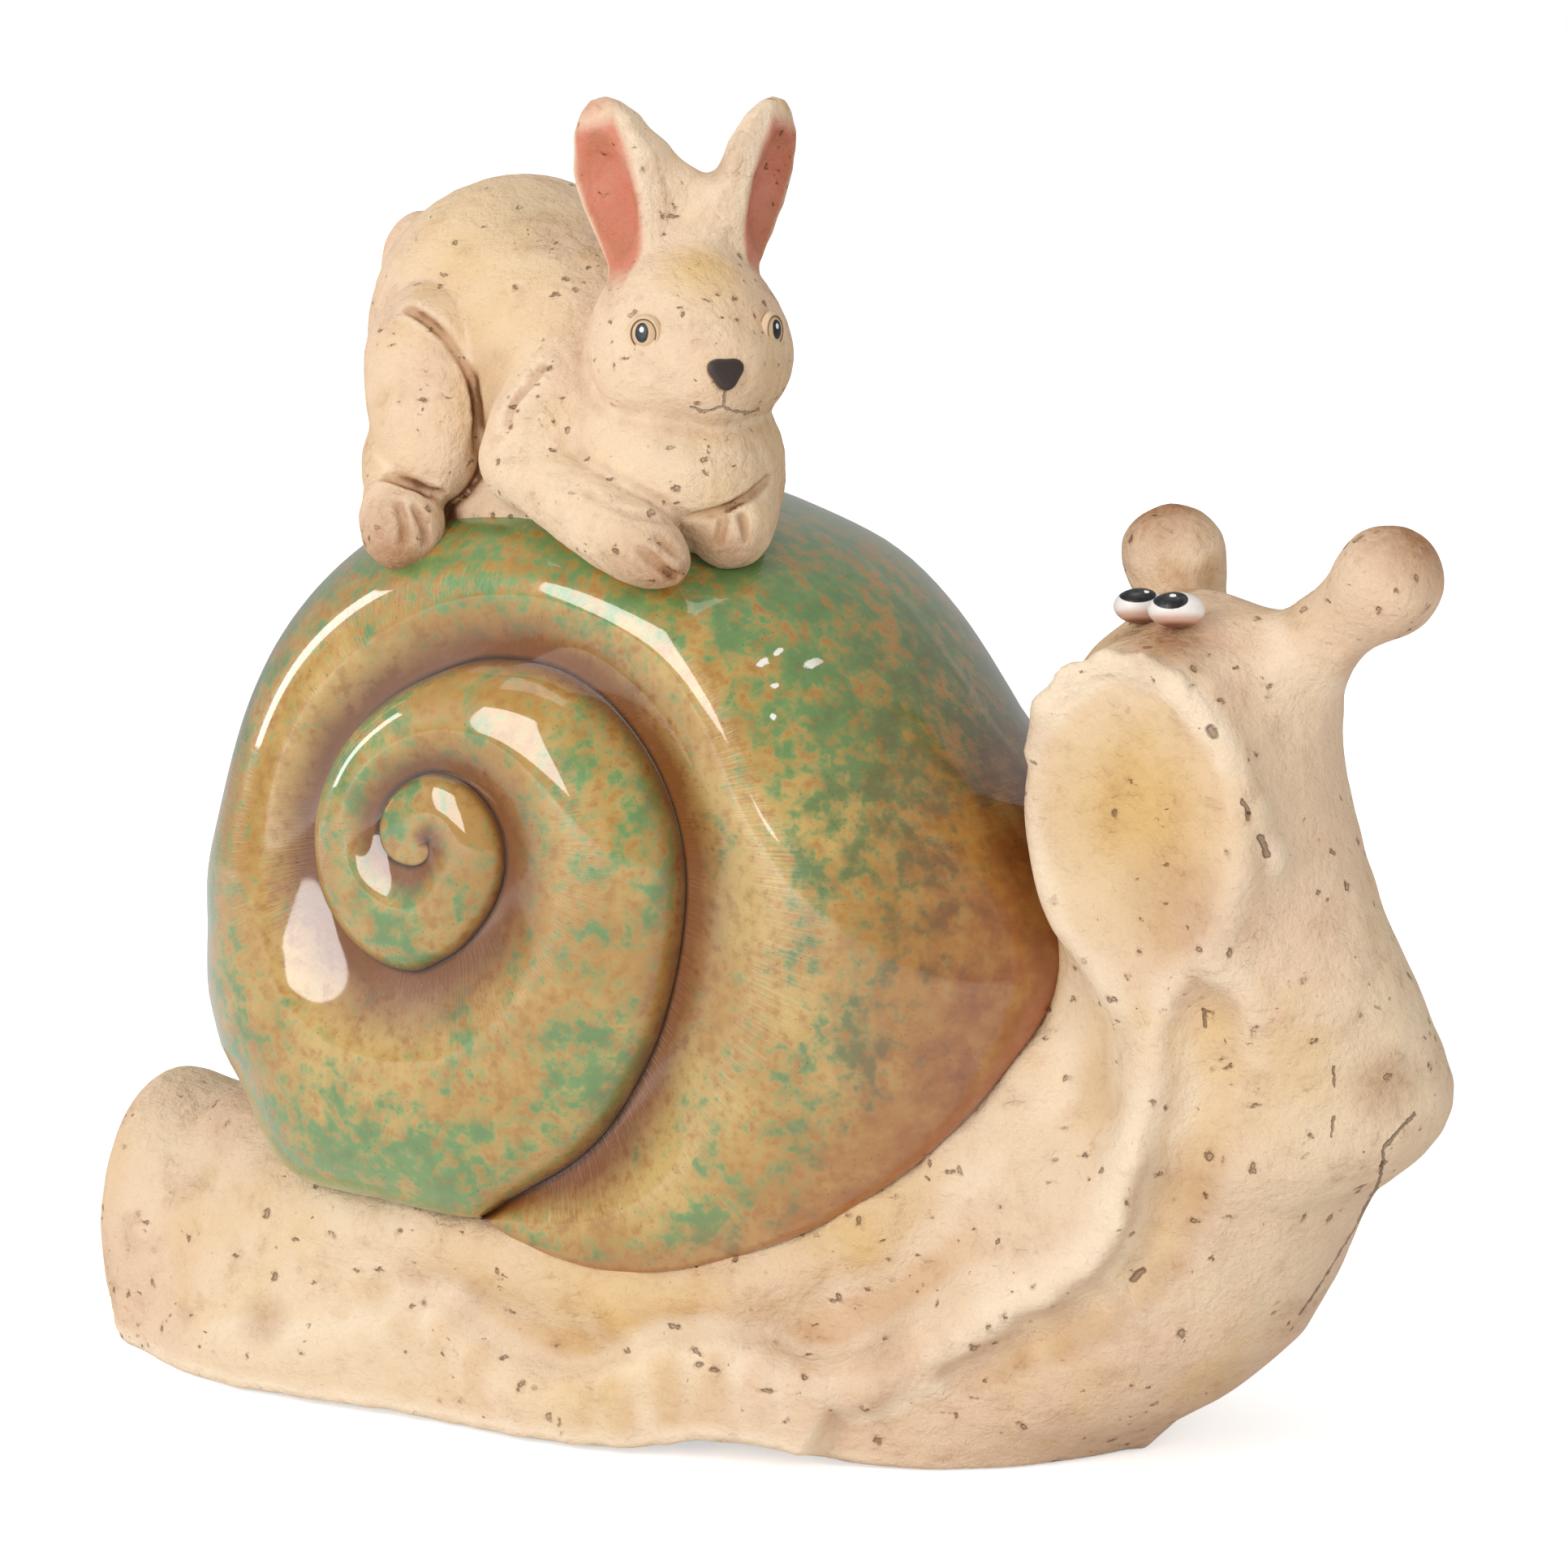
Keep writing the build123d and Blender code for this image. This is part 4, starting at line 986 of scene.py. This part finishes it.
beadWidths = [(0.067, 0.5), (0.25, 0.866), (0.5, 1.0), (0.75, 0.866), (0.933, 0.5)]
eggWidths = [(0.06, 0.5), (0.18, 0.82), (0.36, 1.0), (0.6, 0.95), (0.8, 0.74), (0.94, 0.44)]
torsoWidths = [(0.05, 0.5), (0.14, 0.82), (0.28, 1.0), (0.52, 0.96), (0.78, 0.8), (0.93, 0.5)]
pawWidths = [(0.06, 0.5), (0.2, 0.8), (0.45, 0.92), (0.7, 1.0), (0.88, 0.8), (0.965, 0.48)]
earRows = [(0.0, 0.42, 0.9), (0.22, 0.68, 1.0), (0.48, 0.96, 1.0), (0.68, 1.0, 0.92),
    (0.86, 0.76, 0.72), (0.95, 0.45, 0.45), (1.0, 0.12, 0.15)]
earWide, earThick = softTable(earRows, 1), softTable(earRows, 2)
ears = {
    "right": {"root": (-13.5, -35, 300), "tip": (-26.4, -39, 349.6), "facing": -101.5, "wide": 12.6,
    "front": 8.5, "back": 12.5},
    "left": {"root": (2, -23, 301), "tip": (12.3, -11.5, 349.2), "facing": -0.5, "wide": 14.5,
    "front": 6.5, "back": 8.5},
}
face = {"middle": (-2.5, -35.5, 288), "facing": -44.0}


def faceFrame(p):
    angle = math.radians(face["facing"])
    q = p - np.array(face["middle"])
    fore, side = (math.cos(angle), math.sin(angle), 0), (-math.sin(angle), math.cos(angle), 0)
    return np.stack([q @ np.array(fore), q @ np.array(side), q[:, 2]], 1)


def headField(p):
    q = faceFrame(p)
    d = ball(q, (-1, 0, 2), (24, 24.3, 22.5))
    d = join(d, ball(q, (5, 0, -6.5), (20.5, 23.8, 15.5)), 12)
    d = join(d, rod(q, (8, 0, 8), (21, 0, -1), 10, 6.5), 9)
    d = join(d, ball(q, (19.5, 0, -6.5), (9.5, 11.5, 8)), 9)
    q[:, 1] = np.abs(q[:, 1])
    d = join(d, ball(q, (21.5, 4.2, -8), (6.8, 5.4, 5)), 4)
    return join(d, ball(q, (18, 0, -13.5), (7, 7, 5)), 5)


def earFrame(ear, p):
    root, tip = np.array(ear["root"], float), np.array(ear["tip"], float)
    along = tip - root
    length = np.linalg.norm(along)
    along /= length
    facing = np.array([math.cos(math.radians(ear["facing"])), math.sin(math.radians(ear["facing"])),
        0])
    across = np.cross(along, facing)
    across /= np.linalg.norm(across)
    q = p - root
    return (q @ along) / length, q @ across, q @ np.cross(across, along)


def earField(ear, p):
    s, a, b = earFrame(ear, p)
    wide, thick = ear["wide"] * earWide(np.clip(s, 0, 1)), np.where(b > 0, ear["front"],
        ear["back"]) * earThick(np.clip(s, 0, 1))
    k = np.sqrt((a / wide) ** 2 + (b / thick) ** 2)
    d = (k - 1) * np.minimum(wide, thick) * 1.1
    past = np.maximum(s - 0.99, 0) * 51 + np.maximum(-s, 0) * 51
    d = np.where(past > 0, np.maximum(d, past), d)
    scoop = np.sqrt(((s - 0.54) / 0.36) ** 2 + (a / (ear["wide"] * 0.68)) ** 2
        + ((b - ear["front"] - 1) / 7) ** 2)
    return carve(d, (scoop - 1) * 6.0, 2.0)


rabbitForms = {
    "rabbit_torso": lambda p: join(join(spun(p, (-110, 31, 300.5), (9, -38, 246), 83, torsoWidths),
    ball(p, (-2, -38, 256), (23.5, 24, 20)), 14),
                                   ball(p, (-46, -22, 240), (40, 26, 17)), 10),
    "rabbit_head": headField,
    "rabbit_ear_right": lambda p: earField(ears["right"], p),
    "rabbit_ear_left": lambda p: earField(ears["left"], p),
    "rabbit_tail": lambda p: spun(p, (-119, 29, 287), (-115, 32, 314), 21, beadWidths),
    "rabbit_hind_leg_right": lambda p: spun(p, (-86, -17, 298), (-68.5, -50, 245.5), 38, eggWidths),
    "rabbit_hind_leg_left": lambda p: spun(p, (-76, 36, 297), (-68, 61, 245), 38, eggWidths),
    "rabbit_hind_paw_right": lambda p: join(spun(p, (-88, -35.5, 255), (-71, -62.4, 231), 22,
    pawWidths),
                                            ball(p, (-86.5, -38.5, 255), (8.5, 9, 10.5)), 5),
    "rabbit_hind_paw_left": lambda p: join(spun(p, (-92, 50, 254), (-70, 67, 228), 22, pawWidths),
    ball(p, (-92, 51, 255), (9, 9, 10)), 5),
    "rabbit_foreleg_right": lambda p: join(spun(p, (-33, -27, 282), (-43.5, -58, 249), 32,
    eggWidths),
                                           spun(p, (-51, -52.5, 259.5), (11.5, -67.4, 233), 21.5,
                                           pawWidths), 6),
    "rabbit_foreleg_left": lambda p: join(spun(p, (-10, -14, 268), (4.5, -24, 243), 30, eggWidths),
                                          spun(p, (6, -12, 252), (14.5, -52.4, 238), 22, pawWidths),
                                          7),
}
joinSofts = {"rabbit_head": 4, "rabbit_ear_right": 5, "rabbit_ear_left": 5, "rabbit_tail": 3,
    "rabbit_hind_leg_right": 1.5,
             "rabbit_hind_leg_left": 1.5, "rabbit_hind_paw_right": 3, "rabbit_hind_paw_left": 3,
             "rabbit_foreleg_right": 3,
             "rabbit_foreleg_left": 3}
creaseLines = [  # thigh, arm, elbow, under the chest, shin, then the toes
    [(-81, -40.6, 293.8), (-74.9, -42, 291.2), (-68.8, -42.6, 286.8), (-64.6, -42.5, 281.4),
    (-61.4, -42.6, 276), (-59.7, -43.4, 270.2), (-58.9, -45.1, 258.4)],
    [(-37.3, -49.7, 281), (-39.2, -53.4, 277), (-42.1, -56, 272.5), (-43.1, -58.8, 268.1)],
    [(-28.9, -66.3, 257.4), (-24, -66.6, 256.9), (-19.2, -67.1, 255.9), (-14, -69, 252.3)],
    [(-14, -69, 252.3), (-7.6, -70.5, 249.9), (-1, -70.5, 247.8), (5.6, -67, 246.4),
    (8.2, -56, 245.2), (14.8, -51.9, 247.2), (19.3, -46, 250.1), (21.3, -38.4, 253.6)],
    [(-80.4, -54.9, 251.2), (-73.8, -55.5, 249.8), (-69, -53.7, 247.8), (-66.5, -51.2, 247.2)],
    [(-72.7, -61.9, 245.1), (-70.6, -63.6, 241.1), (-70.2, -64.1, 236.1)],
    [(-69, -59.9, 244.2), (-66.7, -59.8, 240), (-66, -59.5, 235.8)],
    [(15.3, -52, 244.4), (14.3, -52.7, 239.4)], [(19.3, -48.9, 245), (20.4, -49.1, 240.1)],
    [(3, -74, 238.8), (7.4, -72, 234.7), (9.7, -67.8, 231.8)], [(7, -71, 242), (11.2, -69, 237.8)],
]


def rabbitField(p):
    d = None
    for name, form in rabbitForms.items():
        e = form(p)
        d = e if d is None else join(d, e, joinSofts[name])
        if name == "rabbit_ear_left":
            d = join(d, tube(p, [(-5, -28, 304), (-4, -26, 319), (-14, -32, 332)], [12.5, 10, 6]),
                7)
    close = np.abs(d) < 4
    for line in creaseLines:
        d[close] = carve(d[close], tube(p[close], line, [1.1] * len(line)), 1.8)
    return d + 0.5 * lumps(p, 8.0) + 0.35 * lumps(p, 3.5)


def onSkin(field, start, outward):
    outward = np.array(outward, float) / np.linalg.norm(outward)
    steps = np.linspace(-12, 12, 241)
    inside = field(np.array(start) + steps[:, None] * outward) < 0
    return np.array(start) + steps[np.nonzero(inside)[0].max()] * outward if inside.any() else np.array(start)


points, quads, normals = skin(rabbitField, (-136, -84, 205), (46, 88, 352), 0.95)
print("rabbit quads", len(quads))
# painted crease shade on the rabbit, also where it sits on the shell
creaseShade = np.clip(occlusionShadeOf(rabbitField, points, normals, 3.2) * 1.35 - 0.2, 0, 1)
tint = spots(points, [((-73, -64, 230), 17, 0.8), ((-68, 70, 226), 17, 0.8),
    ((8, -72, 230), 18, 0.75), ((18, -55, 233), 13, 0.75),
                      ((-45, -42, 262), 12, 0.4), ((-55, -38, 275), 10, 0.35),
                      ((-60, -5, 300), 14, 0.3), ((4, -50, 268), 12, 0.3)])
pink = np.zeros(len(points))
for ear in ears.values():
    s, a, b = earFrame(ear, points)
    oval = np.maximum(np.abs(s - 0.5) / 0.4,
        np.abs(a) / (ear["wide"] * 0.74 * earWide(np.clip(s, 0, 1))))
    pink = np.maximum(pink, np.clip((1.08 - oval) * 4, 0, 1) * (b > -1.5) * (s > 0.05) * (s < 1))
pink = np.maximum(pink, spots(points, [((-27, -40, 347), 7, 0.55)]))
straw = spots(points, [((6, -46, 306), 11, 0.9), ((-75, -20, 330), 30, 0.45),
    ((13, -11, 347), 7, 0.8), ((-80, -30, 275), 14, 0.35)])
paints = {"creaseShade": creaseShade, "tint": tint, "straw": straw, "pink": pink,
    "ridgeHighlight": 0.7 * ridgeHighlightOf(rabbitField, points, normals, 3.5)}
centres = points[quads].mean(1)
names = list(rabbitForms)
owner = np.argmin(np.stack([inBatches(form, centres) for form in rabbitForms.values()]), 0)
for place, name in enumerate(names):
    cutOut(name, owner == place, points, quads, normals, paints, rabbitClay)

lidRows = [(0, 1.5), (0.25, 1.45), (0.45, 1.25), (0.6, 0.9), (0.68, 0.55), (0.72, 0.5),
    (0.78, 0.75), (0.84, 0.8), (0.9, 0.5), (1, -0.7),
           (0.6, -2.5), (0, -3)]
# the dark ring round the eyeball is painted shade in the groove about it
rabbitEyePaint = paintedMaterial("rabbit_eye_look", (206, 176, 138), [
    ("fold", 0.74, 0.8, (216, 186, 150)), ("lidCreaseShade", 0.3, 0.7, (104, 72, 46)),
    ("ball", 0.3, 0.7, (206, 176, 138)),
    ("pupil", 0.3, 0.7, (24, 26, 34)),
    ("glint", 0.3, 0.7, (236, 238, 240))], 0.3)
rabbitEyes = {"rabbit_eye_right": ((-2.4, -59.5, 291.8), (0.1, -1.0, 0.05)),
    "rabbit_eye_left": ((21.5, -38.5, 291.8), (0.99, -0.16, 0.05))}
for node, (start, outward) in rabbitEyes.items():
    button(node, onSkin(rabbitField, start, outward), outward, (4.6, 5.0), 0.0, lidRows,
           {"lidCreaseShade": (0, 0, 3.5, 3.8), "ball": (0, 0, 3.1, 3.4), "pupil": (-0.2, 0.3, 1.8, 2.5),
           "glint": (-0.2, 1.1, 0.6, 0.7)},
           rabbitEyePaint)
noseRows = [(0, 1.6), (0.4, 1.55), (0.7, 1.3), (0.88, 0.85), (0.97, 0.2), (1, -0.6), (0.6, -2),
    (0, -2.4)]
nosePaint = paintedMaterial("rabbit_nose_look", (58, 46, 42), [("fold", 0.93, 1.0, (120, 92, 70))],
    0.35)
noseWay = (0.719, -0.695, 0.12)
button("rabbit_nose", onSkin(rabbitField, (18, -57, 282.6), noseWay), noseWay, (4.7, 4.1), 0.13,
    noseRows, {}, nosePaint)
print("rabbit ready")
